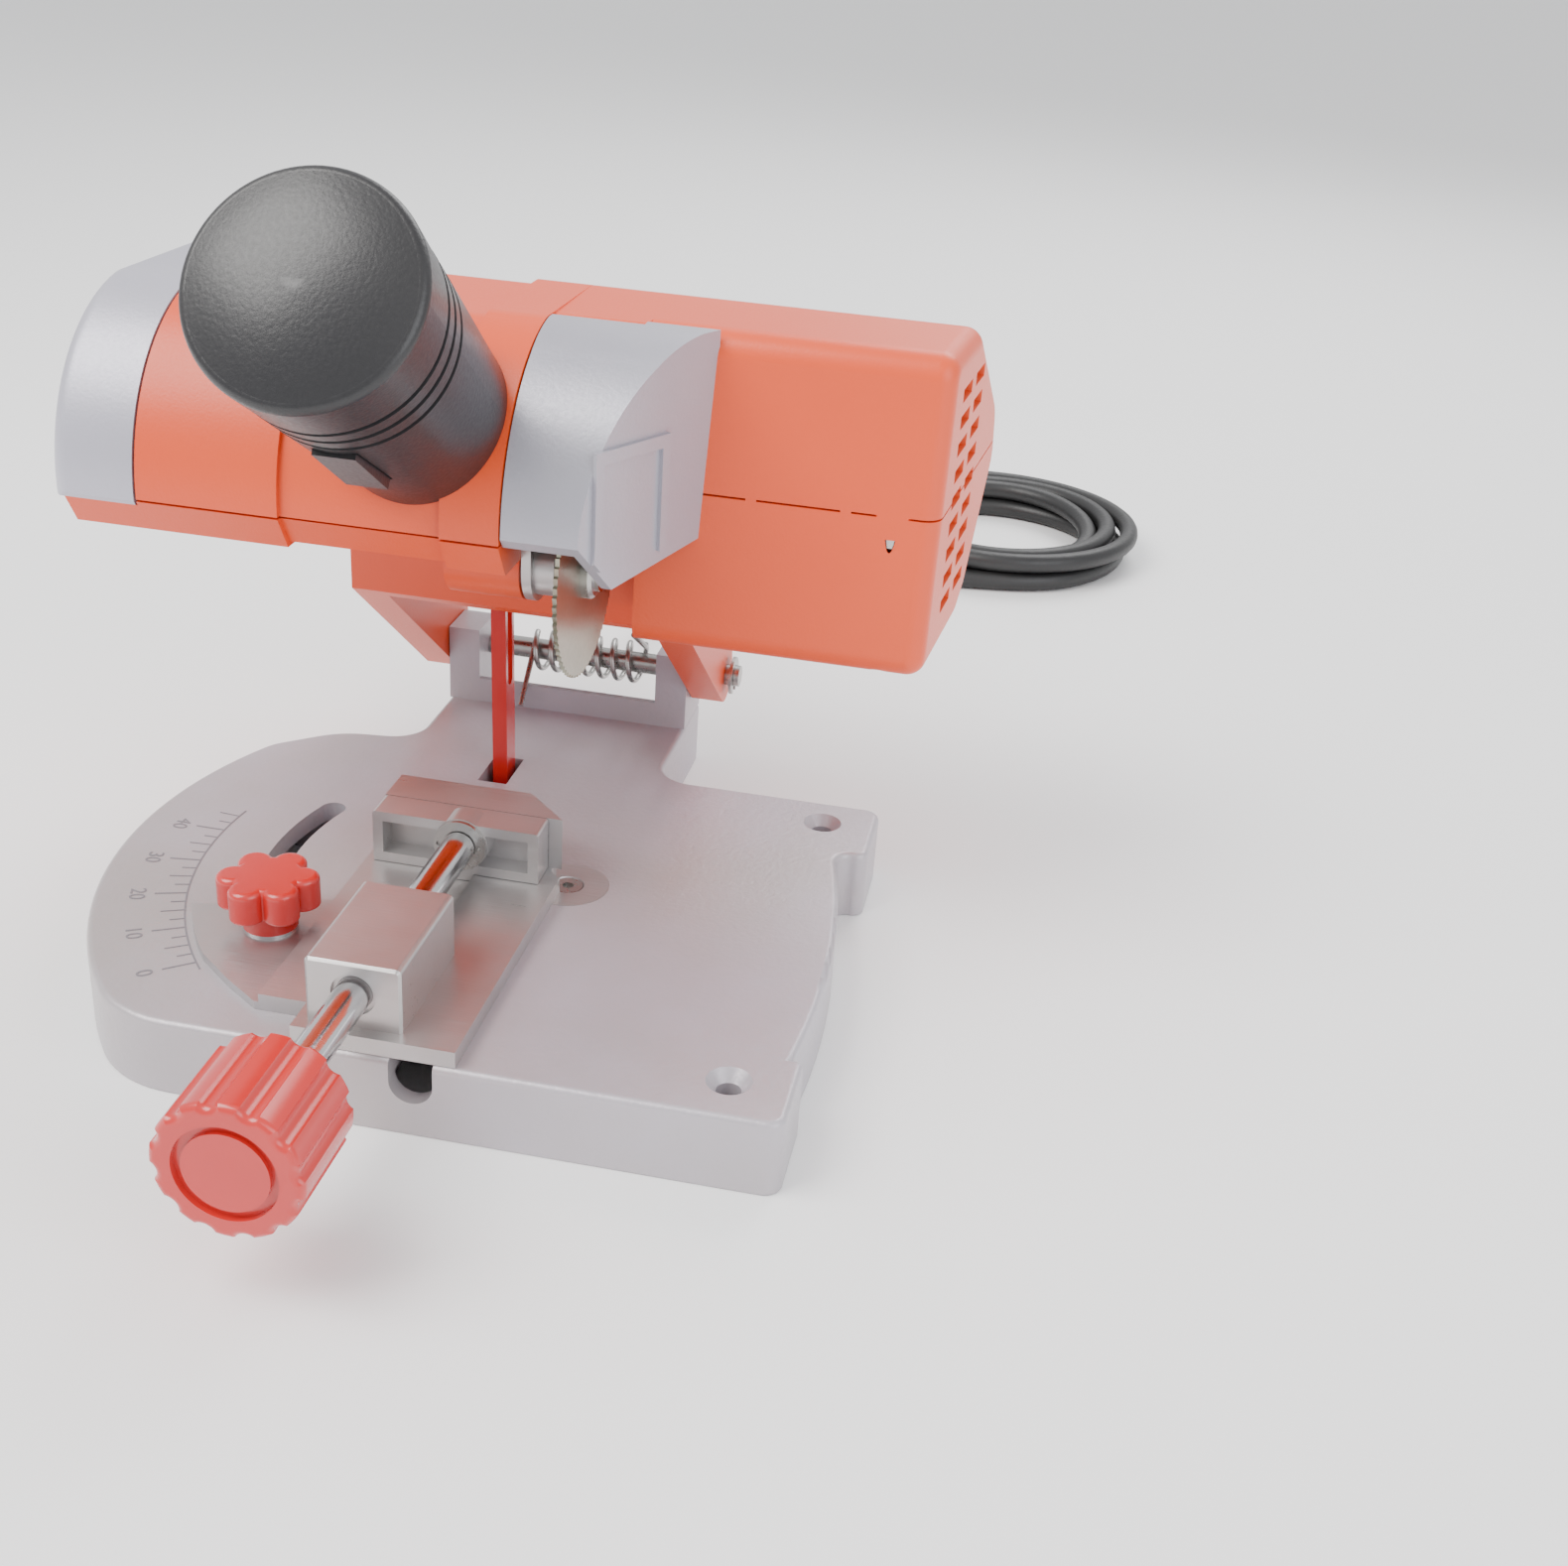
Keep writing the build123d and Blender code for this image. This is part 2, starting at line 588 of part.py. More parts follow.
# ---- head: outer form ----
# side outlines, as (y, z) points; the front of the left body is an arc
front_low = (-15.0, seam_left)
front_mid = (-4.5, 137.0)
front_high = (20.0, head_top + 0.5)
back_high = (58.0, head_top)
back_bend = (94.0, 124.0)
back_low = (97.0, 106.0)
floor_left = 100.0
blade_back = blade_y + blade_radius + 3
blade_roof = blade_z + blade_radius + 3.5
motor_front_low = (19.0, 75.0)
motor_front_high = (25.0, head_top)
motor_back = (99.0, 108.0)
end_plane_front = (78.5, 20.0)
end_plane_back = (85.5, 100.0)
far_right = end_plane_back[0] + 6
end_slope = (end_plane_back[0] - end_plane_front[0]) / (end_plane_back[1] - end_plane_front[1])
belly_front = 47.0
belly_low = 68.0
wall_left = body_left_end - shell


def left_outline(inset):
    """Side outline of the left body, drawn inside its true outline by the inset."""
    with BuildSketch(Plane.XY) as outline:
        with BuildLine():
            ThreePointArc(front_low, front_mid, front_high)
            Polyline(
                front_high, back_high, back_bend, back_low, (88, floor_left), (-10, floor_left), front_low
            )
        make_face()
        fillet(nearest_corner(outline.vertices(), *front_high), radius=12)
        fillet(nearest_corner(outline.vertices(), *back_high), radius=8)
        fillet(nearest_corner(outline.vertices(), *back_bend), radius=12)
        offset(amount=-inset, kind=Kind.INTERSECTION, mode=Mode.REPLACE)
    return outline.sketch


def middle_outline(inset):
    """Side outline of the stretch behind and above the blade."""
    with BuildSketch(Plane.XY) as outline:
        with BuildLine():
            Polyline(
                (22.5, blade_roof), (22.5, head_top - 3), (26.0, head_top), back_high, back_bend,
                back_low, (72, 82), (62, 77), (blade_back, 77), (blade_back, blade_roof),
                (22.5, blade_roof),
            )
        make_face()
        fillet(nearest_corner(outline.vertices(), *back_high), radius=8)
        fillet(nearest_corner(outline.vertices(), *back_bend), radius=12)
        offset(amount=-inset, kind=Kind.INTERSECTION, mode=Mode.REPLACE)
    return outline.sketch


def motor_outline(inset):
    """Side outline of the motor body at the right."""
    with BuildSketch(Plane.XY) as outline:
        with BuildLine():
            Polyline(
                motor_front_low, motor_front_high, back_high, back_bend, motor_back, (72, 80), (62, 75),
                motor_front_low,
            )
        make_face()
        fillet(nearest_corner(outline.vertices(), *motor_front_low), radius=5)
        fillet(nearest_corner(outline.vertices(), *motor_front_high), radius=6)
        fillet(nearest_corner(outline.vertices(), *back_high), radius=8)
        fillet(nearest_corner(outline.vertices(), *back_bend), radius=12)
        fillet(nearest_corner(outline.vertices(), *motor_back), radius=8)
        fillet(nearest_corner(outline.vertices(), 72, 80), radius=9)
        fillet(nearest_corner(outline.vertices(), 62, 75), radius=9)
        offset(amount=-inset, kind=Kind.INTERSECTION, mode=Mode.REPLACE)
    return outline.sketch


def belly_outline():
    """Side outline of the arm that reaches down and back to the hinge."""
    ear_front = (hinge_y - 4, hinge_z - sqrt(ear_radius**2 - 16))
    with BuildSketch(Plane.XY) as outline:
        with BuildLine():
            Polyline(
                ear_front, (belly_front, belly_low), (belly_front, floor_left + 8),
                (back_low[0] - 8, floor_left + 8), (back_low[0] + 6, 72), (hinge_y + ear_radius, hinge_z),
            )
            ThreePointArc(
                (hinge_y + ear_radius, hinge_z), (hinge_y + 2, hinge_z - sqrt(ear_radius**2 - 4)), ear_front
            )
        make_face()
    return outline.sketch


def belly_room():
    """Side outline of the room inside the arm, above its open underside."""
    with BuildSketch(Plane.XY) as outline:
        with BuildLine():
            Polyline(
                (belly_front + shell, belly_low - 5), (belly_front + shell, floor_left + 8),
                (back_low[0] - 8 - shell, floor_left + 8), (back_low[0] + 4 - shell, 77),
                (back_low[0] + 4 - shell, belly_low - 5), close=True,
            )
        make_face()
    return outline.sketch


def belt_outline(front_radius, back_radius):
    """Round both shafts of the belt drive: two circles and their common tangents."""
    dy = motor_y - blade_y
    dz = motor_z - blade_z
    along = atan2(dz, dy)
    lean = asin((back_radius - front_radius) / hypot(dy, dz))
    up = along + pi / 2 + lean
    down = along - pi / 2 - lean
    corners = []
    for y, z, radius, angle in (
        (blade_y, blade_z, front_radius, up), (motor_y, motor_z, back_radius, up),
        (motor_y, motor_z, back_radius, down), (blade_y, blade_z, front_radius, down),
    ):
        corners.append((y + radius * cos(angle), z + radius * sin(angle)))
    upper_front, upper_back, lower_back, lower_front = corners
    back_end = (motor_y + back_radius * cos(along), motor_z + back_radius * sin(along))
    front_end = (blade_y - front_radius * cos(along), blade_z - front_radius * sin(along))
    with BuildSketch(Plane.XY) as outline:
        with BuildLine():
            Line(upper_front, upper_back)
            ThreePointArc(upper_back, back_end, lower_back)
            Line(lower_back, lower_front)
            ThreePointArc(lower_front, front_end, upper_front)
        make_face()
    return outline.sketch


def slab(outline, x0, x1, mode=Mode.ADD):
    """A side outline, drawn as (y, z), made solid from x0 to x1."""
    upright = Location(facing_right(x0))
    extrude(upright * outline, amount=x1 - x0, mode=mode)


def end_cut(inset):
    """Cuts off everything beyond the end face of the motor body, moved inwards by the inset."""
    front = end_plane_front[1] - 40
    back = end_plane_front[1] + 120
    x0 = end_plane_front[0] - inset
    with BuildSketch(Plane.XY) as beyond:
        with BuildLine():
            Polyline(
                (x0 - 40 * end_slope, front), (x0 + 120 * end_slope, back), (x0 + 60, back), (x0 + 60, front),
                close=True,
            )
        make_face()
    extrude(beyond.sketch, amount=200, mode=Mode.SUBTRACT)


panel_left = -63.0
panel_right = -26.0
panel_depth = 1.2
strip_left = cap_left + 3
strip_top = 107.0
seam_slit = 0.5
with BuildPart() as motor_form:
    slab(motor_outline(0), motor_body_left, far_right)
    end_cut(0)
    fillet(motor_form.faces().sort_by(Axis.X)[-1].outer_wire().edges(), radius=4.5)

nose_radius = spindle_pulley_radius + belt_thick + 2.4
nose_back_radius = motor_pulley_radius + belt_thick + 2.4
nose_wall = 1.2
nose_left = belt_left - 3.5
nose_right = body_left_end - 0.6
with BuildPart() as left_form:
    slab(left_outline(0), head_left, body_left_end)
    slab(left_outline(0), panel_left, panel_right, Mode.SUBTRACT)
    slab(left_outline(panel_depth), panel_left, panel_right)

with BuildPart() as head_form:
    slab(left_outline(0), strip_left, head_left)
    block(strip_left - 1, head_left, -60, 160, strip_top, head_top + 10, Mode.SUBTRACT)
    add(left_form.part)
    slab(middle_outline(0), body_left_end, motor_body_left)
    add(motor_form.part)
    slab(belly_outline(), belly_left, belly_right)
    slab(belt_outline(nose_radius, nose_back_radius), nose_left, nose_right)

room_left = neck_left - joint_gap
room_right = neck_right + joint_gap
with BuildPart() as motor_room:
    slab(motor_outline(shell), motor_body_left + shell, far_right)
    end_cut(shell)

with BuildPart() as head_room:
    slab(left_outline(shell), head_left + shell, wall_left)
    slab(middle_outline(shell), body_left_end, motor_body_left + shell + 1)
    add(motor_room.part)
    slab(belly_room(), room_left, wall_left)
    slab(belly_room(), body_left_end, room_right)
    slab(belt_outline(nose_radius - nose_wall, nose_back_radius - nose_wall), nose_left + nose_wall, wall_left)
    # the arm is open below, so that the ears, the spring and the link have room
    block(room_left, room_right, belly_front + shell, hinge_y + 20, hinge_z - 20, belly_low + 6)

with BuildPart() as above_seam:
    block(strip_left - 1, body_left_end, -60, 160, seam_left, head_top + 20)
    block(body_left_end, far_right + 10, -60, 160, seam_right, head_top + 20)

spindle_tube_radius = bearing_radius + 1.5
vent_height = 3.2
vent_length = 11.0
vent_rows = 9
vent_pitch = 6.4
vent_low = 86.0
with BuildPart() as vents:
    for row in range(vent_rows):
        z = vent_low + row * vent_pitch
        for y in (42.0, 58.0):
            block(
                end_plane_front[0] - 10, far_right, y - vent_length / 2, y + vent_length / 2, z,
                z + vent_height,
            )

screw_spots = [
    (-82.0, 16.0, seam_left, floor_left), (-82.0, 80.0, seam_left, floor_left),
    (68.0, 24.6, seam_right, 75.0), (66.0, 84.0, seam_right, 86.0),
]
post_radius = 4.4
with BuildPart() as ribs:
    for x in (34.0, 56.0):
        block(x, x + shell, 20, 90, 76, head_top - 1)
    bar_x(motor_radius + thread_fit, 30, 62, motor_y, motor_z, Mode.SUBTRACT)
    for x, y, seam, foot in screw_spots:
        bar_z(post_radius, foot, head_top, x, y)
    for x in (clevis_gap[0] - clevis_wall, clevis_gap[1]):
        block(x, x + clevis_wall, belly_front + 1, pin_rest[0] + 3, pin_rest[1] - 3, pin_rest[1] + 12)
    add(head_form.part, mode=Mode.INTERSECT)

handle_up = (0, sin(radians(handle_tilt)), cos(radians(handle_tilt)))
handle_out = (0, -cos(radians(handle_tilt)), sin(radians(handle_tilt)))
handle_end = Plane(origin=(handle_x, handle_y, handle_z), x_dir=(1, 0, 0), z_dir=handle_out)
stem_radius = 8.0
bearing_pocket = shaft_bearing_radius + thread_fit

with BuildPart() as head_openings:
    add(vents.part)
    # stem of the handle, spindle tube and motor shaft
    with BuildSketch(handle_end.offset(-20)) as stem_hole:
        Circle(stem_radius + thread_fit)
    extrude(stem_hole.sketch, amount=40)
    bar_x(spindle_tube_radius + thread_fit, wall_left - 1, body_left_end + 1, blade_y, blade_z)
    bar_x(bearing_pocket, wall_left - 2, body_left_end + 1, motor_y, motor_z)
    # hinge pin and the pin of the link
    bar_x(hinge_pin_radius + running, belly_left - 1, belly_right + 1, hinge_y, hinge_z)
    bar_x(stop_pin_radius + thread_fit, clevis_gap[0] - 3, clevis_gap[1] + 3, *pin_rest)
    bar_y(gland_radius + thread_fit, gland_y - 5, gland_y + 5, cord_x, cord_z)

with BuildPart() as upper_housing:
    add(head_form.part)
    add(head_room.part, mode=Mode.SUBTRACT)
    block(strip_left - 1, body_left_end, -60, 160, seam_left - 1, seam_left + seam_slit, Mode.SUBTRACT)
    block(body_left_end, far_right + 10, -60, 160, seam_right - 1, seam_right + seam_slit, Mode.SUBTRACT)
    add(ribs.part)
    add(above_seam.part, mode=Mode.INTERSECT)
    add(head_openings.part, mode=Mode.SUBTRACT)
    for x, y, seam, foot in screw_spots:
        bar_z(1.5 + thread_fit, seam - 1, seam + 10, x, y, Mode.SUBTRACT)
save(upper_housing, "upper_housing")

with BuildPart() as lower_housing:
    add(head_form.part)
    add(head_room.part, mode=Mode.SUBTRACT)
    add(ribs.part)
    add(above_seam.part, mode=Mode.SUBTRACT)
    add(head_openings.part, mode=Mode.SUBTRACT)
    for x, y, seam, foot in screw_spots:
        bar_z(1.7, foot - 2, seam + 1, x, y, Mode.SUBTRACT)
        bar_z(3.2, foot - 12, seam - 5, x, y, Mode.SUBTRACT)
save(lower_housing, "lower_housing")

with BuildPart() as housing_screws:
    for x, y, seam, foot in screw_spots:
        bar_z(1.5, seam - 5, seam + 8, x, y)
        bar_z(2.9, seam - 7, seam - 5, x, y)
        block(x - 1.8, x + 1.8, y - 0.4, y + 0.4, seam - 8, seam - 6.2, Mode.SUBTRACT)
        block(x - 0.4, x + 0.4, y - 1.8, y + 1.8, seam - 8, seam - 6.2, Mode.SUBTRACT)
save(housing_screws, "housing_screws")

# ---- end cap of the left body ----
cap_wall = 2.0
cap_right = head_left - 0.6
with BuildPart() as end_cap:
    slab(left_outline(0), cap_left, cap_right)
    block(cap_left - 1, head_left + 1, -60, 160, 80, strip_top, Mode.SUBTRACT)
    rounded = end_cap.faces().sort_by(Axis.X)[0].outer_wire().edges().filter_by(
        lambda edge: edge.center().Z > strip_top + 1
    )
    fillet(rounded, radius=4)
    slab(left_outline(cap_wall), cap_left + cap_wall + 3, head_left, Mode.SUBTRACT)
    bar_x(1.7, cap_left - 1, head_left + 1, 40, 128, Mode.SUBTRACT)
    bar_x(3.2, cap_left - 1, cap_left + 2.5, 40, 128, Mode.SUBTRACT)
save(end_cap, "end_cap")

with BuildPart() as end_cap_screw:
    bar_x(1.65, cap_left + 2.5, head_left, 40, 128)
    bar_x(2.9, cap_left + 0.5, cap_left + 2.5, 40, 128)
    block(cap_left, cap_left + 1.3, 38.2, 41.8, 127.6, 128.4, Mode.SUBTRACT)
    block(cap_left, cap_left + 1.3, 39.6, 40.4, 126.2, 129.8, Mode.SUBTRACT)
save(end_cap_screw, "end_cap_screw")

# ---- blade guard ----
guard_left = body_left_end + 0.4
guard_wall = 2.0
side_front = (5.0, -15.0)
side_back = (24.0, 22.0)
side_length = hypot(side_back[0] - side_front[0], side_back[1] - side_front[1])
side_dir = (
    (side_back[0] - side_front[0]) / side_length, (side_back[1] - side_front[1]) / side_length, 0
)
side_normal = (side_dir[1], -side_dir[0], 0)
guard_back = 28.0


def guard_shape(inset, low):
    """The guard as a solid, drawn inside its outer form by the inset and ending below at low."""
    with BuildSketch(Plane.XY) as profile:
        with BuildLine():
            ThreePointArc((-15, 110), (-7.6, 132), (6.6, 145.5))
            ThreePointArc((6.6, 145.5), (13, 148.8), (20, head_top + 0.5))
            Polyline((20, head_top + 0.5), (guard_back, head_top + 0.5), (guard_back, 70), (-15, 70), (-15, 110))
        make_face()
        offset(amount=-inset, kind=Kind.INTERSECTION, mode=Mode.REPLACE)
    slab(profile.sketch, guard_left - (1 if inset else 0), side_back[0] + 8)
    away = Plane(origin=(*side_front, low), x_dir=side_dir, z_dir=(0, 0, 1)).offset(-1)
    with BuildSketch(away) as outside:
        with Locations((0, inset - 40)):
            Rectangle(200, 80)
    extrude(outside.sketch, amount=120, mode=Mode.SUBTRACT)


with BuildPart() as guard_room:
    guard_shape(guard_wall, 60)

with BuildPart() as blade_guard:
    guard_shape(0, 60)
    add(guard_room.part, mode=Mode.SUBTRACT)
    # the open underside rises in a V towards the front
    with BuildSketch(Plane.XY) as mouth:
        with BuildLine():
            Polyline(
                (-30, 110), (-14.9, 110), (-5, 98), (guard_back - 6, 103), (guard_back + 5, 103),
                (guard_back + 5, 60), (-30, 60), close=True,
            )
        make_face()
    slab(mouth.sketch, guard_left - 2, side_back[0] + 12, Mode.SUBTRACT)
    # raised arch on the slanted side
    with BuildSketch(Plane(origin=(*side_front, 0), x_dir=side_dir, z_dir=side_normal)) as arch:
        with Locations((16.5, 117)):
            Rectangle(24, 27)
        with Locations((16.5, 115.5)):
            Rectangle(19, 24.1, mode=Mode.SUBTRACT)
    extrude(arch.sketch, amount=1.0)
    slab(mouth.sketch, guard_left - 2, side_back[0] + 12, Mode.SUBTRACT)
    add(head_form.part, mode=Mode.SUBTRACT)
    block(guard_left - 2, motor_body_left, 22.5, 40, 60, 160, Mode.SUBTRACT)
    block(motor_body_left, 40, 25.2, 40, 60, 160, Mode.SUBTRACT)
save(blade_guard, "blade_guard")

# ---- handle ----
handle_profile = Plane(
    origin=(handle_x, handle_y, handle_z), x_dir=(1, 0, 0), z_dir=(0, -handle_out[2], handle_out[1])
)
base_radius = handle_radius - 3.2
core_radius = base_radius - handle_wall
trigger_half = 4.5
trigger_span = (18.0, 38.0)
trigger_gap = 0.4


def handle_block(x_half, s0, s1, u0, u1, mode=Mode.ADD):
    """A box in the handle: half width, reach along the axis, reach across it."""
    with BuildSketch(handle_end.offset(s0)) as foot:
        with Locations((0, (u0 + u1) / 2)):
            Rectangle(2 * x_half, abs(u1 - u0))
    extrude(foot.sketch, amount=s1 - s0, mode=mode)


def handle_bar(radius, s0, s1, mode=Mode.ADD):
    """A round bar on the axis of the handle."""
    with BuildSketch(handle_end.offset(s0)) as disc:
        Circle(radius)
    extrude(disc.sketch, amount=s1 - s0, mode=mode)


groove_points = []
for groove in (41.0, 46.0, 51.0):
    flank = base_radius + (handle_radius - base_radius) * groove / handle_length
    groove_points += [(flank, groove), (flank - 0.9, groove + 0.2), (flank - 0.9, groove + 1.2)]
    groove_points.append((flank, groove + 1.4))
dome_edge = handle_radius - 1.8
dome_rise = 3.7
dome_sphere = (dome_edge**2 + dome_rise**2) / (2 * dome_rise)
dome_drop = dome_sphere - sqrt(dome_sphere**2 - dome_edge**2 / 4)
with BuildPart() as handle_grip:
    with BuildSketch(handle_profile) as grip_profile:
        with BuildLine():
            Polyline(
                (core_radius, -14), (base_radius - 0.8, -14), (base_radius, 4), *groove_points,
                (handle_radius, handle_length - 1.2),
            )
            ThreePointArc(
                (handle_radius, handle_length - 1.2), (handle_radius - 0.5, handle_length + 0.1),
                (dome_edge, handle_length + 0.8),
            )
            ThreePointArc(
                (dome_edge, handle_length + 0.8), (dome_edge / 2, handle_length + 4.5 - dome_drop),
                (0, handle_length + 4.5),
            )
            Polyline(
                (0, handle_length + 4.5), (0, handle_length - 6), (core_radius, handle_length - 6),
                (core_radius, -14),
            )
        make_face()
    revolve(grip_profile.sketch, axis=Axis((handle_x, handle_y, handle_z), handle_out))
    handle_block(trigger_half + trigger_gap, trigger_span[0] - trigger_gap, trigger_span[1] + trigger_gap, -30, -8,
        Mode.SUBTRACT)
    add(left_form.part, mode=Mode.SUBTRACT)
save(handle_grip, "handle_grip")

with BuildPart() as handle_core:
    handle_bar(core_radius - thread_fit, -14, handle_length - 6)
    handle_bar(core_radius - 2.5, 4, handle_length - 8, Mode.SUBTRACT)
    handle_block(trigger_half + trigger_gap, trigger_span[0] - trigger_gap, trigger_span[1] + trigger_gap, -30, -8,
        Mode.SUBTRACT)
    add(left_form.part, mode=Mode.SUBTRACT)
    handle_bar(stem_radius, -18, 1)
    handle_bar(stem_radius - 2.5, -19, 5, Mode.SUBTRACT)
save(handle_core, "handle_core")

switch_top = 6.0
with BuildPart() as switch_body:
    handle_block(6.5, 16, 42, -5, switch_top)
    handle_block(14.2, 18, 40, 2, 4.5)
save(switch_body, "switch_body")

trigger_travel = 3.5
trigger_top = -5 - trigger_travel - 0.6
with BuildPart() as trigger:
    handle_block(trigger_half, *trigger_span, -base_radius - 2.6, trigger_top)
    handle_block(trigger_half - 2, trigger_span[0] + 3, trigger_span[1] - 3, trigger_top - 9, trigger_top + 1,
        Mode.SUBTRACT)
save(trigger, "trigger")

# ---- motor ----
can_wall = 2.0
with BuildPart() as motor_can:
    bar_x(motor_radius, motor_left, motor_right, motor_y, motor_z)
    bar_x(motor_radius - can_wall, motor_left + can_wall, motor_right + 1, motor_y, motor_z, Mode.SUBTRACT)
    bar_x(shaft_bearing_radius + 2, motor_left - 4, motor_left + can_wall, motor_y, motor_z)
    bar_x(bearing_pocket, motor_left - 5, motor_left + can_wall + 1, motor_y, motor_z, Mode.SUBTRACT)
save(motor_can, "motor_can")

with BuildPart() as motor_magnets:
    bar_x(motor_radius - can_wall, 32, 58, motor_y, motor_z)
    bar_x(16.5, 31, 59, motor_y, motor_z, Mode.SUBTRACT)
    block(31, 59, motor_y - 30, motor_y + 30, motor_z - 5, motor_z + 5, Mode.SUBTRACT)
save(motor_magnets, "motor_magnets")

with BuildPart() as end_bell:
    bar_x(motor_radius, motor_right, motor_right + 2.5, motor_y, motor_z)
    bar_x(shaft_bearing_radius + 2, motor_right, motor_right + 6, motor_y, motor_z)
    bar_x(bearing_pocket, motor_right + 2, motor_right + 8, motor_y, motor_z, Mode.SUBTRACT)
    bar_x(shaft_radius + 1, motor_right - 1, motor_right + 8, motor_y, motor_z, Mode.SUBTRACT)
    for y in (motor_y - 17, motor_y + 17):
        block(61, motor_right, y - 2.5, y + 2.5, motor_z - 4, motor_z + 4)
save(end_bell, "end_bell")

with BuildPart() as carbon_brushes:
    block(62, 66, motor_y - 14.5, motor_y - 7.2, motor_z - 2.5, motor_z + 2.5)
    block(62, 66, motor_y + 7.2, motor_y + 14.5, motor_z - 2.5, motor_z + 2.5)
save(carbon_brushes, "carbon_brushes")

shaft_bearings_at = [(wall_left - 1.5, 4.0), (motor_left - 4, 4.0), (motor_right + 2, 4.0)]
with BuildPart() as shaft_bearings:
    for x, width in shaft_bearings_at:
        bearing_x(shaft_radius + running, shaft_bearing_radius, x, x + width, motor_y, motor_z)
save(shaft_bearings, "shaft_bearings")

with BuildPart() as rotor_shaft:
    bar_x(shaft_radius, belt_left - 1.7, motor_right + 7, motor_y, motor_z)
    chamfer(rotor_shaft.edges().filter_by(GeomType.CIRCLE), 0.4)
save(rotor_shaft, "rotor_shaft")

with BuildPart() as armature_core:
    bar_x(15.8, 34, 56, motor_y, motor_z)
    with BuildSketch(facing_right(33)) as winding_slots:
        with Locations((motor_y, motor_z)):
            with PolarLocations(12.6, 10):
                Circle(2.2)
            with PolarLocations(15.2, 10):
                Rectangle(4, 1.4)
    extrude(winding_slots.sketch, amount=24, mode=Mode.SUBTRACT)
    bar_x(shaft_radius, 33, 57, motor_y, motor_z, Mode.SUBTRACT)
save(armature_core, "armature_core")

with BuildPart() as armature_windings:
    for x0, x1 in ((29.5, 34), (56, 60)):
        bar_x(13.2, x0, x1, motor_y, motor_z)
        bar_x(shaft_radius, x0 - 1, x1 + 1, motor_y, motor_z, Mode.SUBTRACT)
save(armature_windings, "armature_windings")

with BuildPart() as commutator:
    bar_x(7.0, 60.5, 67.5, motor_y, motor_z)
    with BuildSketch(facing_right(60)) as gaps:
        with Locations((motor_y, motor_z)):
            with PolarLocations(7.0, 10):
                Rectangle(1.6, 0.6)
    extrude(gaps.sketch, amount=8, mode=Mode.SUBTRACT)
    bar_x(shaft_radius, 60, 68, motor_y, motor_z, Mode.SUBTRACT)
save(commutator, "commutator")

with BuildPart() as cooling_fan:
    bar_x(5.5, 23.5, 28.5, motor_y, motor_z)
    bar_x(16.5, 27.5, 28.5, motor_y, motor_z)
    with BuildSketch(facing_right(23.5)) as fan_blades:
        with Locations((motor_y, motor_z)):
            with PolarLocations(10.5, 9):
                Rectangle(12, 1.0)
    extrude(fan_blades.sketch, amount=4.5)
    bar_x(shaft_radius, 23, 29, motor_y, motor_z, Mode.SUBTRACT)
save(cooling_fan, "cooling_fan")

# ---- belt drive ----
belt_right = belt_left + belt_width
rim = 1.0
belt_gap = 0.1
with BuildPart() as motor_pulley:
    bar_x(motor_pulley_radius, belt_left - rim, belt_right + rim, motor_y, motor_z)
    for x in (belt_left - rim, belt_right + 0.1):
        bar_x(motor_pulley_radius + belt_thick + 0.7, x, x + rim - 0.1, motor_y, motor_z)
    bar_x(shaft_radius, belt_left - 3, belt_right + 3, motor_y, motor_z, Mode.SUBTRACT)
save(motor_pulley, "motor_pulley")

with BuildPart() as spindle_pulley:
    bar_x(spindle_pulley_radius, belt_left - rim, belt_right + rim, blade_y, blade_z)
    for x in (belt_left - rim, belt_right + 0.1):
        bar_x(spindle_pulley_radius + belt_thick + 0.6, x, x + rim - 0.1, blade_y, blade_z)
    bar_x(spindle_radius, belt_left - 3, belt_right + 3, blade_y, blade_z, Mode.SUBTRACT)
save(spindle_pulley, "spindle_pulley")

with BuildPart() as drive_belt:
    slab(
        belt_outline(spindle_pulley_radius + belt_thick, motor_pulley_radius + belt_thick),
        belt_left, belt_right,
    )
    slab(
        belt_outline(spindle_pulley_radius + belt_gap, motor_pulley_radius + belt_gap),
        belt_left - 1, belt_right + 1, Mode.SUBTRACT,
    )
save(drive_belt, "drive_belt")

# ---- spindle and blade ----
tube_left = belt_right + 3.0
tube_right = -5.5
with BuildPart() as spindle_housing:
    bar_x(spindle_tube_radius, tube_left, tube_right, blade_y, blade_z)
    bar_x(8.5, body_left_end, body_left_end + 2.2, blade_y, blade_z)
    block(body_left_end, body_left_end + 2.2, blade_y - 8.5, blade_y + 8.5, blade_z, blade_z + 19)
    bar_x(bearing_radius + thread_fit, tube_left - 1, tube_left + 4.5, blade_y, blade_z, Mode.SUBTRACT)
    bar_x(bearing_radius + thread_fit, tube_right - 4.5, tube_right + 1, blade_y, blade_z, Mode.SUBTRACT)
    bar_x(spindle_radius + 1, tube_left - 1, tube_right + 1, blade_y, blade_z, Mode.SUBTRACT)
    for y in (blade_y - 5.5, blade_y + 5.5):
        bar_x(1.25, body_left_end - 1, body_left_end + 3, y, blade_z + 15, Mode.SUBTRACT)
save(spindle_housing, "spindle_housing")

with BuildPart() as spindle_screws:
    for y in (blade_y - 5.5, blade_y + 5.5):
        bar_x(1.2, body_left_end, body_left_end + 2.2, y, blade_z + 15)
        bar_x(2.3, body_left_end + 2.2, body_left_end + 3.8, y, blade_z + 15)
        block(body_left_end + 3, body_left_end + 4, y - 0.3, y + 0.3, blade_z + 13, blade_z + 17, Mode.SUBTRACT)
save(spindle_screws, "spindle_housing_screws")

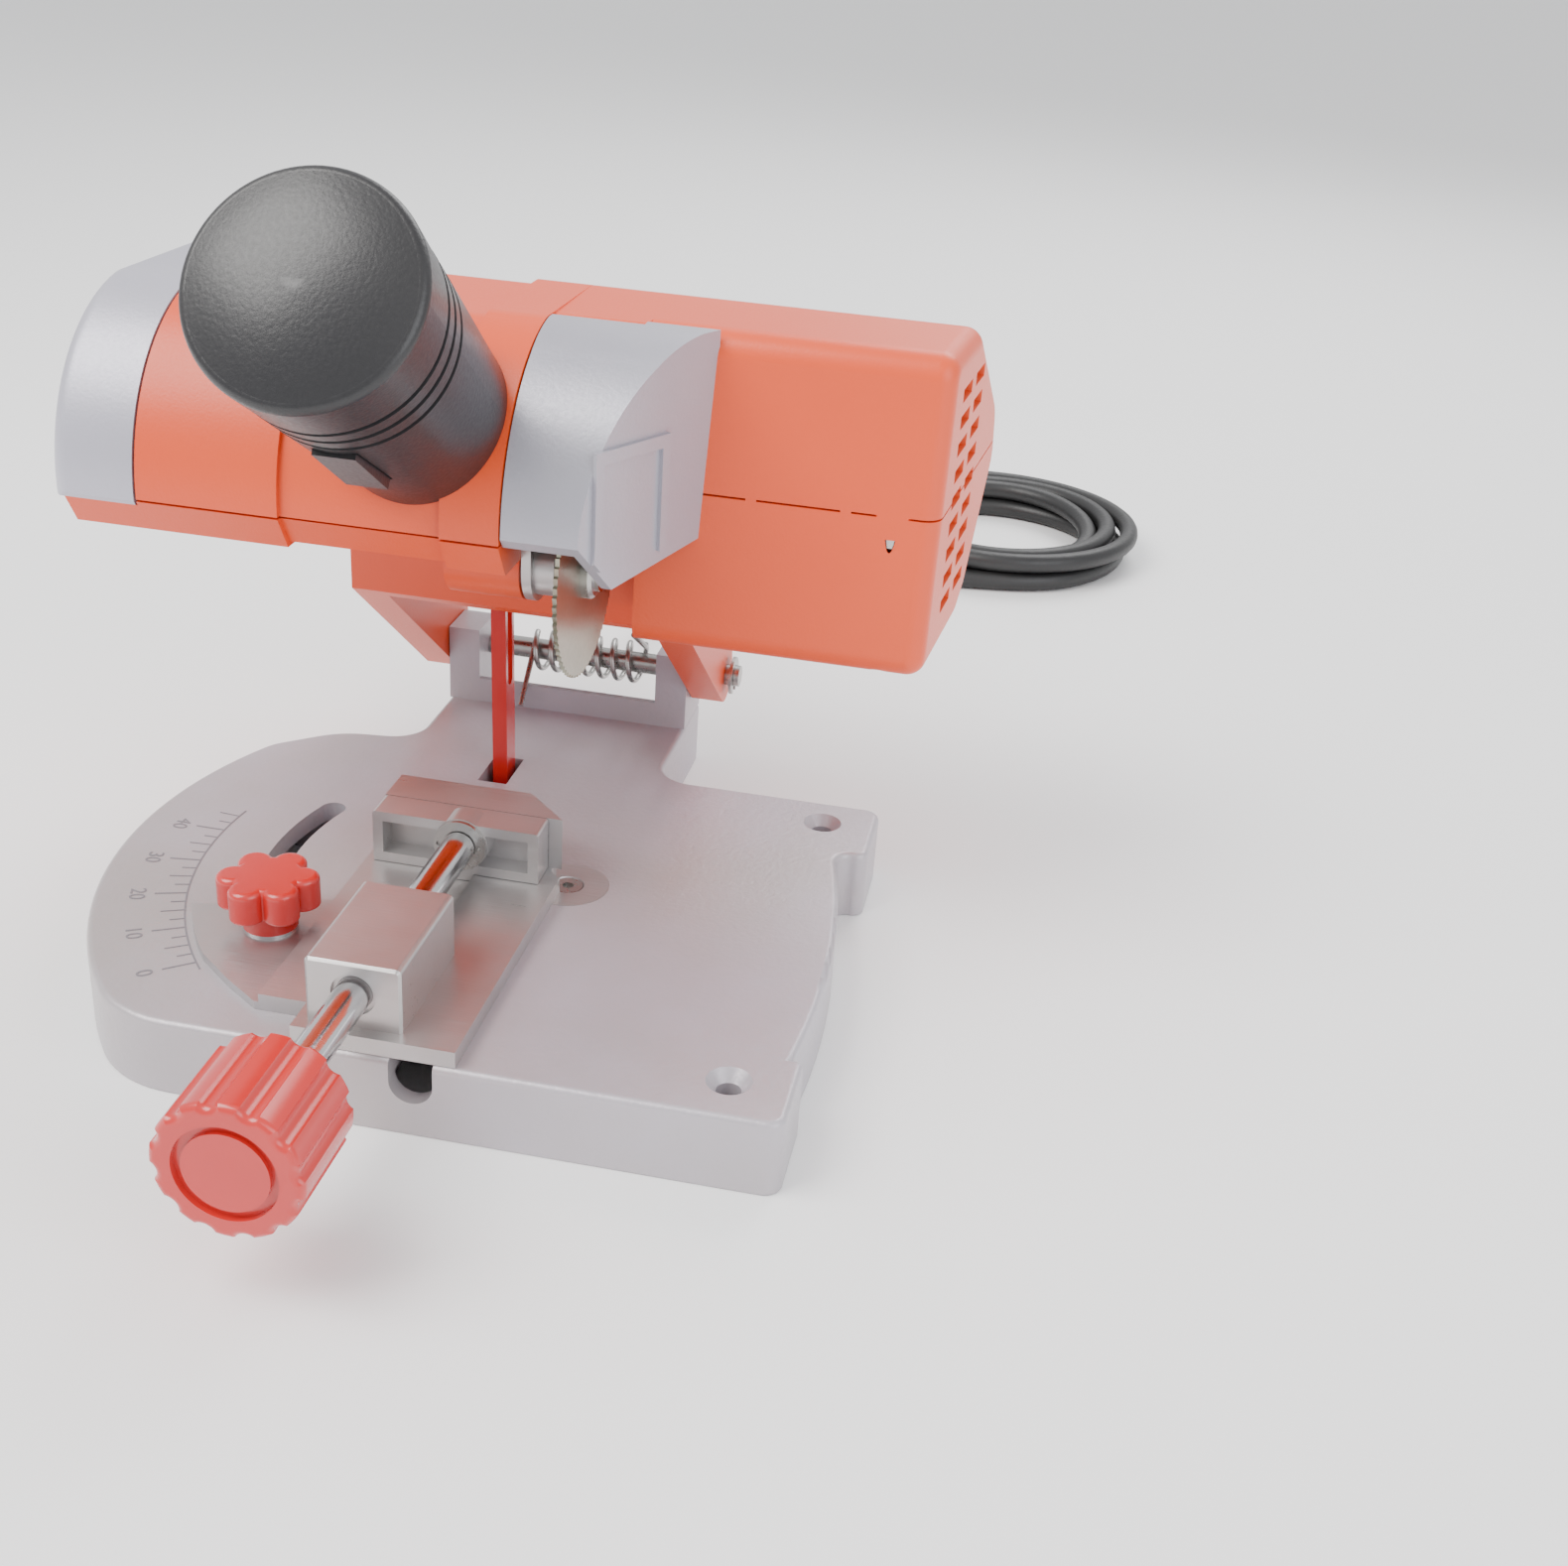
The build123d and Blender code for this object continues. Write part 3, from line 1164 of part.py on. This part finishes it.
with BuildPart() as spindle_bearings:
    for x in (tube_left + 0.5, tube_right - 4.5):
        bearing_x(spindle_radius + running, bearing_radius, x, x + 4, blade_y, blade_z)
save(spindle_bearings, "spindle_bearings")

blade_left = -blade_thick / 2
blade_right = blade_thick / 2
inner_left = blade_left - 3.5
outer_right = blade_right + 2.5
with BuildPart() as spindle:
    bar_x(spindle_radius, belt_left - 1.5, inner_left + 0.1, blade_y, blade_z)
    bar_x(arbor_radius, inner_left, outer_right, blade_y, blade_z)
    bar_x(1.25 + thread_fit, inner_left + 2, outer_right + 1, blade_y, blade_z, Mode.SUBTRACT)
save(spindle, "spindle")

with BuildPart() as inner_flange:
    bar_x(flange_radius, inner_left, blade_left, blade_y, blade_z)
    bar_x(arbor_radius, inner_left - 1, blade_left + 1, blade_y, blade_z, Mode.SUBTRACT)
    chamfer(inner_flange.edges().filter_by(GeomType.CIRCLE).group_by(Axis.X)[0].sort_by(SortBy.RADIUS)[-1], 1.2)
save(inner_flange, "inner_flange")

with BuildPart() as outer_flange:
    bar_x(flange_radius, blade_right, outer_right, blade_y, blade_z)
    bar_x(arbor_radius, blade_right - 1, outer_right + 1, blade_y, blade_z, Mode.SUBTRACT)
    chamfer(outer_flange.edges().filter_by(GeomType.CIRCLE).group_by(Axis.X)[-1].sort_by(SortBy.RADIUS)[-1], 0.8)
save(outer_flange, "outer_flange")

tooth_count = 72
tooth_depth = 0.7
with BuildPart() as blade:
    with BuildSketch(facing_right(blade_left)) as teeth:
        tip_points = []
        for tooth in range(tooth_count):
            start = 2 * pi * tooth / tooth_count
            back = start + 2 * pi * 0.82 / tooth_count
            tip_points.append((blade_radius * cos(start), blade_radius * sin(start)))
            tip_points.append(
                ((blade_radius - tooth_depth) * cos(back), (blade_radius - tooth_depth) * sin(back))
            )
        with Locations((blade_y, blade_z)):
            Polygon(*tip_points, align=None)
            Circle(arbor_radius, mode=Mode.SUBTRACT)
    extrude(teeth.sketch, amount=blade_thick)
save(blade, "blade")

with BuildPart() as arbor_screw:
    bar_x(1.25, inner_left + 3, outer_right, blade_y, blade_z)
    bar_x(4.6, outer_right, outer_right + 1.2, blade_y, blade_z)
    bar_x(3.4, outer_right + 1.2, outer_right + 4.2, blade_y, blade_z)
    with BuildSketch(facing_right(outer_right + 4.2)) as hex_socket:
        with Locations((blade_y, blade_z)):
            RegularPolygon(1.7, 6)
    extrude(hex_socket.sketch, amount=-2.2, mode=Mode.SUBTRACT)
save(arbor_screw, "arbor_screw")

# ---- cord ----
with BuildPart() as strain_relief:
    bar_y(gland_radius, gland_y - 6, gland_y + 4, cord_x, cord_z)
    bar_y(gland_radius + 1.2, gland_y + 4, gland_y + 5.4, cord_x, cord_z)
    bar_y(cord_radius + 0.8, gland_y + 5, cord_start_y, cord_x, cord_z)
    for step in range(3):
        y = gland_y + 6.2 + 1.4 * step
        bar_y(gland_radius, y, y + 0.7, cord_x, cord_z)
save(strain_relief, "strain_relief")

coil_centre = (78.0, 335.0)
coil_outer = 57.5
coil_inner = 31.0
coil_height = 22.0
cord_route = [
    (cord_x, cord_start_y, cord_z), (cord_x, 150, cord_z), (cord_x, 180, 44), (cord_x, 220, cord_radius),
    (-6, 256, cord_radius), (30, 280, cord_radius), (66, 288, cord_radius),
]
cord_bends = []
for before, corner, after in zip(cord_route, cord_route[1:], cord_route[2:]):
    arriving = Vector(*corner) - Vector(*before)
    leaving = Vector(*after) - Vector(*corner)
    half_turn = radians(arriving.get_angle(leaving)) / 2
    cord_bends.append(0.45 * min(arriving.length, leaving.length) / tan(half_turn))
with BuildPart() as power_cord:
    with BuildLine() as cord_line:
        FilletPolyline(*cord_route, radius=cord_bends)
    with BuildSketch(facing_front(cord_start_y)) as cord_section:
        with Locations((cord_x, cord_z)):
            Circle(cord_radius)
    sweep(cord_section.sketch, path=cord_line.wire())
save(power_cord, "power_cord")

with BuildPart() as cord_coil:
    bar_z(coil_outer, 0, coil_height, *coil_centre)
    bar_z(coil_inner, -1, coil_height + 1, *coil_centre, Mode.SUBTRACT)
    fillet(cord_coil.edges().filter_by(GeomType.CIRCLE), radius=6)
save(cord_coil, "cord_coil")

plug_length = 36.0
plug_width = 35.0
plug_height = 14.0
plug_pin_radius = 2.0
plug_pin_length = 19.0
plug_pin_spacing = 19.0
plug_right = coil_centre[0] - coil_outer - 10
plug_left = plug_right - plug_length
plug_z = plug_height / 2
with BuildPart() as plug_body:
    block(
        plug_left, plug_right, coil_centre[1] - plug_width / 2, coil_centre[1] + plug_width / 2, 0,
        plug_height,
    )
    chamfer(plug_body.edges().filter_by(Axis.Z).group_by(Axis.X)[-1], 9)
    fillet(plug_body.edges().filter_by(Axis.X), 4)
    bar_x(cord_radius + 1, plug_right - 1, plug_right + 12, coil_centre[1], plug_z)
    for y in (coil_centre[1] - plug_pin_spacing / 2, coil_centre[1] + plug_pin_spacing / 2):
        bar_x(plug_pin_radius, plug_left - 1, plug_left + 6, y, plug_z, Mode.SUBTRACT)
save(plug_body, "plug_body")

with BuildPart() as plug_pins:
    for y in (coil_centre[1] - plug_pin_spacing / 2, coil_centre[1] + plug_pin_spacing / 2):
        bar_x(plug_pin_radius, plug_left - plug_pin_length, plug_left + 6, y, plug_z)
    fillet(plug_pins.edges().filter_by(GeomType.CIRCLE).group_by(Axis.X)[0], 1)
save(plug_pins, "plug_pins")
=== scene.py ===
"""Looks of the bench cut-off saw: materials, the scale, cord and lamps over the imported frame.

Metres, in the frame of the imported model: X to the right along the hinge, Y to the back, Z up.
"""

import json
import math

import bmesh
import bpy
from mathutils import Matrix, Vector

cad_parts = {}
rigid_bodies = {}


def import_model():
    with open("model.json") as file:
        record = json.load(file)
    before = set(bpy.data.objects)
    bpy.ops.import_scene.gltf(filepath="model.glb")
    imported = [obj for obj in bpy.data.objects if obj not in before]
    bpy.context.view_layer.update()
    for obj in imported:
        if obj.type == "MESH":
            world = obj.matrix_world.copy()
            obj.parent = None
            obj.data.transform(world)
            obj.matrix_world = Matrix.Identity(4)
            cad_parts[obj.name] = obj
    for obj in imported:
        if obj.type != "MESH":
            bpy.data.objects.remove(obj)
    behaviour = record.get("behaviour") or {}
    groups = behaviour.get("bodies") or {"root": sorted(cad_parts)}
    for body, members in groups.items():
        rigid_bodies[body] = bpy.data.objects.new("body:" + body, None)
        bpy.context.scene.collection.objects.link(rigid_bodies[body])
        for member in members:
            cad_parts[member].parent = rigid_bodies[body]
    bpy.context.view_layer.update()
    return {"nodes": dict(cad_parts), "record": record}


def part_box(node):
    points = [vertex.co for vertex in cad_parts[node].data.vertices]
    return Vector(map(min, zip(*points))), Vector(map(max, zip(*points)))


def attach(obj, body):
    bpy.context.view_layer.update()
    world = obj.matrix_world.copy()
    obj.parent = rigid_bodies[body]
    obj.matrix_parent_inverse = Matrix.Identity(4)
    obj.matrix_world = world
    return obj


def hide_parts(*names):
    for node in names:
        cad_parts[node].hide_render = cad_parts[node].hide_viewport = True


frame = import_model()
nodes = frame["nodes"]
scene = bpy.context.scene
for thing in bpy.data.objects:
    thing.select_set(False)

# ---- camera ----
# Stands front right of the saw and above it, and looks down on it at about 27 degrees.
# Its sideways and forward directions are given, and the upward one follows from them.
camera_data = bpy.data.cameras.new("camera")
camera_data.sensor_width = 36.0
camera_data.lens = 43.44
camera = bpy.data.objects.new("camera", camera_data)
scene.collection.objects.link(camera)
camera_place = Vector((0.10908, -0.38519, 0.25257))
camera_right = Vector((0.98100634, 0.18206303, 0.06692987)).normalized()
camera_forward = Vector((-0.13251782, 0.88100446, -0.45416976)).normalized()
camera_up = camera_right.cross(camera_forward).normalized()
turn = Matrix((camera_right, camera_up, -camera_forward)).transposed().to_4x4()
camera.matrix_world = Matrix.Translation(camera_place) @ turn
scene.camera = camera

# ---- floor ----
# A large pale sheet at the height of the bench.
# It lies a hair below the base, so that the two faces don't meet.
floor_reach = 14.0
floor_drop = 0.0002
floor_mesh = bpy.data.meshes.new("floor")
floor_corners = [
    (-floor_reach, -floor_reach, 0), (floor_reach, -floor_reach, 0),
    (floor_reach, floor_reach, 0), (-floor_reach, floor_reach, 0),
]
floor_mesh.from_pydata(floor_corners, [], [(0, 1, 2, 3)])
floor = bpy.data.objects.new("floor", floor_mesh)
floor.location.z = -floor_drop
scene.collection.objects.link(floor)
floor_paint = bpy.data.materials.new("floor_paint")
floor_paint.use_nodes = True
floor_shader = floor_paint.node_tree.nodes["Principled BSDF"]
floor_shader.inputs["Base Color"].default_value = (0.95, 0.95, 0.95, 1)
floor_shader.inputs["Roughness"].default_value = 0.62
floor_mesh.materials.append(floor_paint)

# ---- lamps ----
# One broad lamp above and left, a weaker one at the right and one behind.
# A pale room surrounds them.
world = bpy.data.worlds.new("room")
world.use_nodes = True
world.node_tree.nodes["Background"].inputs["Color"].default_value = (0.98, 0.985, 1.0, 1)
world.node_tree.nodes["Background"].inputs["Strength"].default_value = 1.0
scene.world = world
for name, place, aim, size, power, colour in (
    ("key", (-0.55, -0.35, 0.95), (0, 0.02, 0.08), 0.7, 15.0, (1.0, 0.98, 0.95)),
    ("fill", (0.85, -0.55, 0.55), (0, 0.0, 0.08), 0.8, 6.0, (0.95, 0.97, 1.0)),
    ("back", (0.25, 0.95, 0.9), (0, 0.1, 0.1), 0.7, 8.0, (1.0, 1.0, 1.0)),
):
    lamp = bpy.data.lights.new(name, "AREA")
    lamp.size = size
    lamp.energy = power
    lamp.color = colour
    holder = bpy.data.objects.new(name, lamp)
    holder.location = place
    holder.rotation_euler = (Vector(aim) - Vector(place)).to_track_quat("-Z", "Y").to_euler()
    scene.collection.objects.link(holder)

# ---- cast base ----
# A light metal casting with a painted top and a finely cast skin.
# All finishes share one node group, which varies colour, roughness and relief over a piece.
blotch_span = (0.32, 0.68)
relief_depth = 0.0004
surface = bpy.data.node_groups.new("worked_surface", "ShaderNodeTree")
face = surface.interface
for name, kind, value in (
    ("Colour", "NodeSocketColor", (0.8, 0.8, 0.8, 1)),
    ("Second Colour", "NodeSocketColor", (0.5, 0.5, 0.5, 1)),
    ("Blotch Scale", "NodeSocketFloat", 30.0),
    ("Grain Scale", "NodeSocketFloat", 900.0),
    ("Roughness", "NodeSocketFloat", 0.4),
    ("Spread", "NodeSocketFloat", 0.1),
    ("Relief", "NodeSocketFloat", 0.1),
    ("Stretch", "NodeSocketVector", (1, 1, 1)),
):
    socket = face.new_socket(name=name, in_out="INPUT", socket_type=kind)
    socket.default_value = value
face.new_socket(name="Colour", in_out="OUTPUT", socket_type="NodeSocketColor")
face.new_socket(name="Roughness", in_out="OUTPUT", socket_type="NodeSocketFloat")
face.new_socket(name="Normal", in_out="OUTPUT", socket_type="NodeSocketVector")
tree = surface.nodes
wire = surface.links.new
source = tree.new("NodeGroupInput")
result = tree.new("NodeGroupOutput")
coordinates = tree.new("ShaderNodeTexCoord")
stretch = tree.new("ShaderNodeVectorMath")
stretch.operation = "MULTIPLY"
wire(coordinates.outputs["Object"], stretch.inputs[0])
wire(source.outputs["Stretch"], stretch.inputs[1])
blotch = tree.new("ShaderNodeTexNoise")
blotch.inputs["Detail"].default_value = 4.0
wire(coordinates.outputs["Object"], blotch.inputs["Vector"])
wire(source.outputs["Blotch Scale"], blotch.inputs["Scale"])
grain = tree.new("ShaderNodeTexNoise")
grain.inputs["Detail"].default_value = 5.0
wire(stretch.outputs[0], grain.inputs["Vector"])
wire(source.outputs["Grain Scale"], grain.inputs["Scale"])
ramp = tree.new("ShaderNodeMapRange")
ramp.inputs["From Min"].default_value = blotch_span[0]
ramp.inputs["From Max"].default_value = blotch_span[1]
wire(blotch.outputs["Fac"], ramp.inputs["Value"])
mix = tree.new("ShaderNodeMix")
mix.data_type = "RGBA"
wire(ramp.outputs[0], mix.inputs["Factor"])
wire(source.outputs["Colour"], mix.inputs["A"])
wire(source.outputs["Second Colour"], mix.inputs["B"])
wire(mix.outputs["Result"], result.inputs["Colour"])
both = tree.new("ShaderNodeMath")
both.operation = "ADD"
wire(grain.outputs["Fac"], both.inputs[0])
wire(blotch.outputs["Fac"], both.inputs[1])
centred = tree.new("ShaderNodeMath")
centred.operation = "SUBTRACT"
centred.inputs[1].default_value = 1.0
wire(both.outputs[0], centred.inputs[0])
scaled = tree.new("ShaderNodeMath")
scaled.operation = "MULTIPLY_ADD"
wire(centred.outputs[0], scaled.inputs[0])
wire(source.outputs["Spread"], scaled.inputs[1])
wire(source.outputs["Roughness"], scaled.inputs[2])
wire(scaled.outputs[0], result.inputs["Roughness"])
bump = tree.new("ShaderNodeBump")
bump.inputs["Distance"].default_value = relief_depth
wire(grain.outputs["Fac"], bump.inputs["Height"])
wire(source.outputs["Relief"], bump.inputs["Strength"])
wire(bump.outputs["Normal"], result.inputs["Normal"])


def finish_pieces(slot, colour, second, metal, rough, spread, relief, blotches, fine, pull, coat):
    """Gives every solid piece of this material slot its finish, and returns the material."""
    paint = bpy.data.materials.new(slot + "_look")
    paint.use_nodes = True
    shader = paint.node_tree.nodes["Principled BSDF"]
    worked = paint.node_tree.nodes.new("ShaderNodeGroup")
    worked.node_tree = surface
    worked.inputs["Colour"].default_value = (*colour, 1)
    worked.inputs["Second Colour"].default_value = (*second, 1)
    worked.inputs["Blotch Scale"].default_value = blotches
    worked.inputs["Grain Scale"].default_value = fine
    worked.inputs["Roughness"].default_value = rough
    worked.inputs["Spread"].default_value = spread
    worked.inputs["Relief"].default_value = relief
    worked.inputs["Stretch"].default_value = pull
    shader.inputs["Metallic"].default_value = metal
    shader.inputs["Coat Weight"].default_value = coat
    shader.inputs["Coat Roughness"].default_value = 0.25
    join = paint.node_tree.links.new
    join(worked.outputs["Colour"], shader.inputs["Base Color"])
    join(worked.outputs["Roughness"], shader.inputs["Roughness"])
    join(worked.outputs["Normal"], shader.inputs["Normal"])
    for part in frame["record"]["subparts"]:
        if part["material_slot"] == slot:
            mesh = nodes[part["node"]].data
            mesh.materials.clear()
            mesh.materials.append(paint)
    return paint


finish_pieces(
    "cast_base", colour=(0.43, 0.39, 0.39), second=(0.50, 0.47, 0.53),
    metal=0.3, rough=0.4, spread=0.25, relief=0.3,
    blotches=14, fine=700, pull=(1, 1, 1), coat=0.2,
)

# ---- mitre scale ----
# A dark arc with a tick every 2.5 degrees and a number every 10 degrees, on the left of the table.
# It is printed on the casting, so here it is thin raised ink.
scale_ink = bpy.data.materials.new("scale_ink")
scale_ink.use_nodes = True
ink_shader = scale_ink.node_tree.nodes["Principled BSDF"]
ink_shader.inputs["Base Color"].default_value = (0.20, 0.19, 0.21, 1)
ink_shader.inputs["Roughness"].default_value = 0.55
ink_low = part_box("vise_bed")[0].z + 0.00244
ink_height = 0.00006
zero_angle = 219.5
arc_inner = 0.0889
arc_outer = 0.0893
arc_steps = 48
tick_step = 2.5
tick_count = 19
long_tick, middle_tick, short_tick = 0.0965, 0.0945, 0.0925
number_radius = 0.1005
number_size = 0.0052
scale_mesh = bpy.data.meshes.new("mitre_scale")
scale = bmesh.new()


def scale_bar(inner, outer, first, last, parts):
    """A thin raised bar between two radii and two angles, in degrees about the pivot."""
    rings = []
    ink_high = ink_low + ink_height
    for part in range(parts + 1):
        angle = math.radians(first + (last - first) * part / parts)
        way = Vector((math.cos(angle), math.sin(angle), 0))
        corners = []
        for radius, height in ((inner, ink_low), (outer, ink_low), (outer, ink_high), (inner, ink_high)):
            corners.append(scale.verts.new(way * radius + Vector((0, 0, height))))
        rings.append(corners)
    for before, after in zip(rings, rings[1:]):
        for corner in range(4):
            following = (corner + 1) % 4
            scale.faces.new((before[corner], before[following], after[following], after[corner]))
    scale.faces.new(rings[0][::-1])
    scale.faces.new(rings[-1])


scale_bar(arc_inner, arc_outer, zero_angle + 2, zero_angle - 47, arc_steps)
for mark in range(tick_count):
    angle = zero_angle - tick_step * mark
    tick_end = long_tick if mark % 4 == 0 else middle_tick if mark % 2 == 0 else short_tick
    half = 0.13 if mark % 4 == 0 else 0.1
    scale_bar(arc_outer, tick_end, angle + half, angle - half, 1)
bmesh.ops.recalc_face_normals(scale, faces=scale.faces)
scale.to_mesh(scale_mesh)
scale.free()
mitre_scale = bpy.data.objects.new("mitre_scale", scale_mesh)
scene.collection.objects.link(mitre_scale)
scale_mesh.materials.append(scale_ink)
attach(mitre_scale, "base")
for ten in range(5):
    angle = math.radians(zero_angle - 10 * ten)
    number = bpy.data.curves.new("number", "FONT")
    number.body = str(ten * 10)
    number.size = number_size
    number.extrude = ink_height / 2
    number.align_x = "CENTER"
    number.align_y = "CENTER"
    outline = bpy.data.objects.new("outline", number)
    scene.collection.objects.link(outline)
    bpy.context.view_layer.update()
    number_mesh = bpy.data.meshes.new_from_object(outline)
    bpy.data.objects.remove(outline)
    number_mesh.materials.clear()
    number_mesh.materials.append(scale_ink)
    digits = bpy.data.objects.new(f"number_{ten * 10}", number_mesh)
    digits.location = (
        number_radius * math.cos(angle), number_radius * math.sin(angle), ink_low + ink_height / 2
    )
    digits.rotation_euler = (0, 0, angle + math.pi / 2)
    scene.collection.objects.link(digits)
    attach(digits, "base")

# ---- hinge, pins and screws ----
# Turned steel pins, clips and the spring, and plated screws that shine more.
# They hold the head, the link and the covers.
finish_pieces(
    "steel", colour=(0.50, 0.49, 0.47), second=(0.40, 0.39, 0.38),
    metal=0.95, rough=0.3, spread=0.2, relief=0.08,
    blotches=60, fine=900, pull=(1, 1, 1), coat=0.0,
)
finish_pieces(
    "bright_screw", colour=(0.68, 0.68, 0.69), second=(0.60, 0.60, 0.61),
    metal=1.0, rough=0.16, spread=0.1, relief=0.05,
    blotches=60, fine=900, pull=(1, 1, 1), coat=0.0,
)

# ---- vise ----
# Bare cast and milled light metal: the bed, the two jaws and the nut block.
# The grain runs across, as the milling left it.
finish_pieces(
    "vise_metal", colour=(0.46, 0.44, 0.43), second=(0.56, 0.55, 0.56),
    metal=0.75, rough=0.34, spread=0.22, relief=0.16,
    blotches=25, fine=500, pull=(0.15, 3, 1), coat=0.0,
)

# ---- knobs and safety link ----
# Glossy red plastic: the knob of the vise, the lock knob and the link.
# They are moulded, with a hard clear shine.
finish_pieces(
    "red_plastic", colour=(0.62, 0.022, 0.018), second=(0.52, 0.016, 0.014),
    metal=0.0, rough=0.24, spread=0.1, relief=0.05,
    blotches=20, fine=900, pull=(1, 1, 1), coat=0.5,
)

# ---- housing ----
# Two orange moulded shells, screwed together round the motor and the belt.
# The plastic is satin, with a fine grain.
finish_pieces(
    "housing", colour=(0.80, 0.085, 0.015), second=(0.75, 0.070, 0.011),
    metal=0.0, rough=0.42, spread=0.12, relief=0.16,
    blotches=9, fine=1500, pull=(1, 1, 1), coat=0.12,
)

# ---- guard and end cap ----
# The guard over the blade and the cap on the left end, both in silver paint.
# The cap is a moulding; the guard has a little more metal in its paint.
finish_pieces(
    "guard_paint", colour=(0.40, 0.39, 0.45), second=(0.46, 0.45, 0.50),
    metal=0.35, rough=0.38, spread=0.2, relief=0.14,
    blotches=18, fine=1100, pull=(1, 1, 1), coat=0.2,
)
finish_pieces(
    "cap_plastic", colour=(0.43, 0.42, 0.49), second=(0.49, 0.48, 0.55),
    metal=0.3, rough=0.4, spread=0.2, relief=0.14,
    blotches=14, fine=1100, pull=(1, 1, 1), coat=0.2,
)

# ---- handle and switch ----
# A black moulded grip with a domed end, the trigger in it and the core behind it.
# The grip is satin and the core is dull.
finish_pieces(
    "handle_black", colour=(0.012, 0.012, 0.014), second=(0.018, 0.017, 0.018),
    metal=0.0, rough=0.38, spread=0.2, relief=0.18,
    blotches=18, fine=1200, pull=(1, 1, 1), coat=0.1,
)
finish_pieces(
    "core_plastic", colour=(0.03, 0.03, 0.035), second=(0.04, 0.04, 0.045),
    metal=0.0, rough=0.5, spread=0.2, relief=0.2,
    blotches=18, fine=1200, pull=(1, 1, 1), coat=0.0,
)

# ---- motor and drive ----
# Inside the housing: a steel can with magnets, copper windings and carbon brushes.
# A toothed rubber belt carries the drive to the blade.
finish_pieces(
    "motor_steel", colour=(0.20, 0.20, 0.21), second=(0.26, 0.25, 0.26),
    metal=0.8, rough=0.4, spread=0.2, relief=0.1,
    blotches=30, fine=900, pull=(1, 1, 1), coat=0.0,
)
finish_pieces(
    "magnet", colour=(0.07, 0.07, 0.075), second=(0.1, 0.1, 0.1),
    metal=0.5, rough=0.6, spread=0.2, relief=0.2,
    blotches=30, fine=900, pull=(1, 1, 1), coat=0.0,
)
finish_pieces(
    "copper", colour=(0.65, 0.30, 0.14), second=(0.55, 0.24, 0.10),
    metal=1.0, rough=0.3, spread=0.2, relief=0.3,
    blotches=60, fine=900, pull=(8, 1, 1), coat=0.0,
)
finish_pieces(
    "carbon", colour=(0.03, 0.03, 0.03), second=(0.05, 0.05, 0.05),
    metal=0.0, rough=0.7, spread=0.2, relief=0.2,
    blotches=30, fine=900, pull=(1, 1, 1), coat=0.0,
)
finish_pieces(
    "belt_rubber", colour=(0.02, 0.02, 0.02), second=(0.03, 0.03, 0.03),
    metal=0.0, rough=0.6, spread=0.2, relief=0.2,
    blotches=30, fine=900, pull=(1, 1, 1), coat=0.0,
)

# ---- blade ----
# A thin round toothed blade in bare grey steel; its warm tint is a painted reflection of the orange
# housing.
# A screw and two flanges clamp it on the spindle.
finish_pieces(
    "blade_steel", colour=(0.30, 0.29, 0.22), second=(0.40, 0.38, 0.31),
    metal=0.9, rough=0.32, spread=0.2, relief=0.1,
    blotches=40, fine=900, pull=(1, 1, 1), coat=0.0,
)

# ---- cord ----
# A black rubber cord that leaves the rear of the head, drops to the bench and ends in a flat coil beside
# its plug. The first points repeat the route of the solid cord; the coil is wound by a loop.
cord_paint = finish_pieces(
    "cord_rubber", colour=(0.012, 0.012, 0.013), second=(0.02, 0.02, 0.02),
    metal=0.0, rough=0.46, spread=0.2, relief=0.2,
    blotches=30, fine=900, pull=(1, 1, 1), coat=0.05,
)
cord_radius = 0.0035
coil_centre = Vector((0.078, 0.335))
lead = [
    (-0.025, 0.104, 0.092), (-0.025, 0.150, 0.092), (-0.025, 0.180, 0.044), (-0.025, 0.220, 0.0035),
    (-0.006, 0.256, 0.0035), (0.030, 0.280, 0.0035), (0.072, 0.2845, 0.0035),
]
per_turn = 14
turns = 4.62
first_radius = 0.0505
inward = 0.0073
inward_turns = 1.8
climb_turns = 0.6
outward = 0.0075
outward_from = 2.3
layer_height = 0.0072
waver = 0.0012
waver_rate = 2.3
coil_points = []
for step in range(1, int(per_turn * turns) + 1):
    angle = math.radians(-90) + 2 * math.pi * step / per_turn
    lap = step / per_turn
    layer = min(1.0, max(0.0, (lap - inward_turns) / climb_turns))
    radius = first_radius - inward * min(lap, inward_turns) + outward * max(0.0, lap - outward_from)
    radius += waver * math.sin(waver_rate * angle)
    coil_points.append(
        (
            coil_centre.x + radius * math.cos(angle), coil_centre.y + radius * math.sin(angle),
            cord_radius + layer_height * layer,
        )
    )
plug_low, plug_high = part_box("plug_body")
plug_mid = (plug_low + plug_high) / 2
tail = [
    (0.0085, plug_mid.y + 0.012, 0.0095), (plug_high.x + 0.003, plug_mid.y, 0.0072),
    (plug_high.x - 0.004, plug_mid.y, plug_mid.z),
]
route = lead + coil_points + tail
cord_curve = bpy.data.curves.new("supply_lead", "CURVE")
cord_curve.dimensions = "3D"
cord_curve.bevel_depth = cord_radius
cord_curve.bevel_resolution = 6
cord_curve.resolution_u = 8
cord_line = cord_curve.splines.new("NURBS")
cord_line.points.add(len(route) - 1)
for point, place in zip(cord_line.points, route):
    point.co = (*place, 1.0)
cord_line.order_u = 3
cord_line.use_endpoint_u = True
supply_lead = bpy.data.objects.new("supply_lead", cord_curve)
scene.collection.objects.link(supply_lead)
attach(supply_lead, "base")
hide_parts("power_cord", "cord_coil")
cord_curve.materials.append(cord_paint)
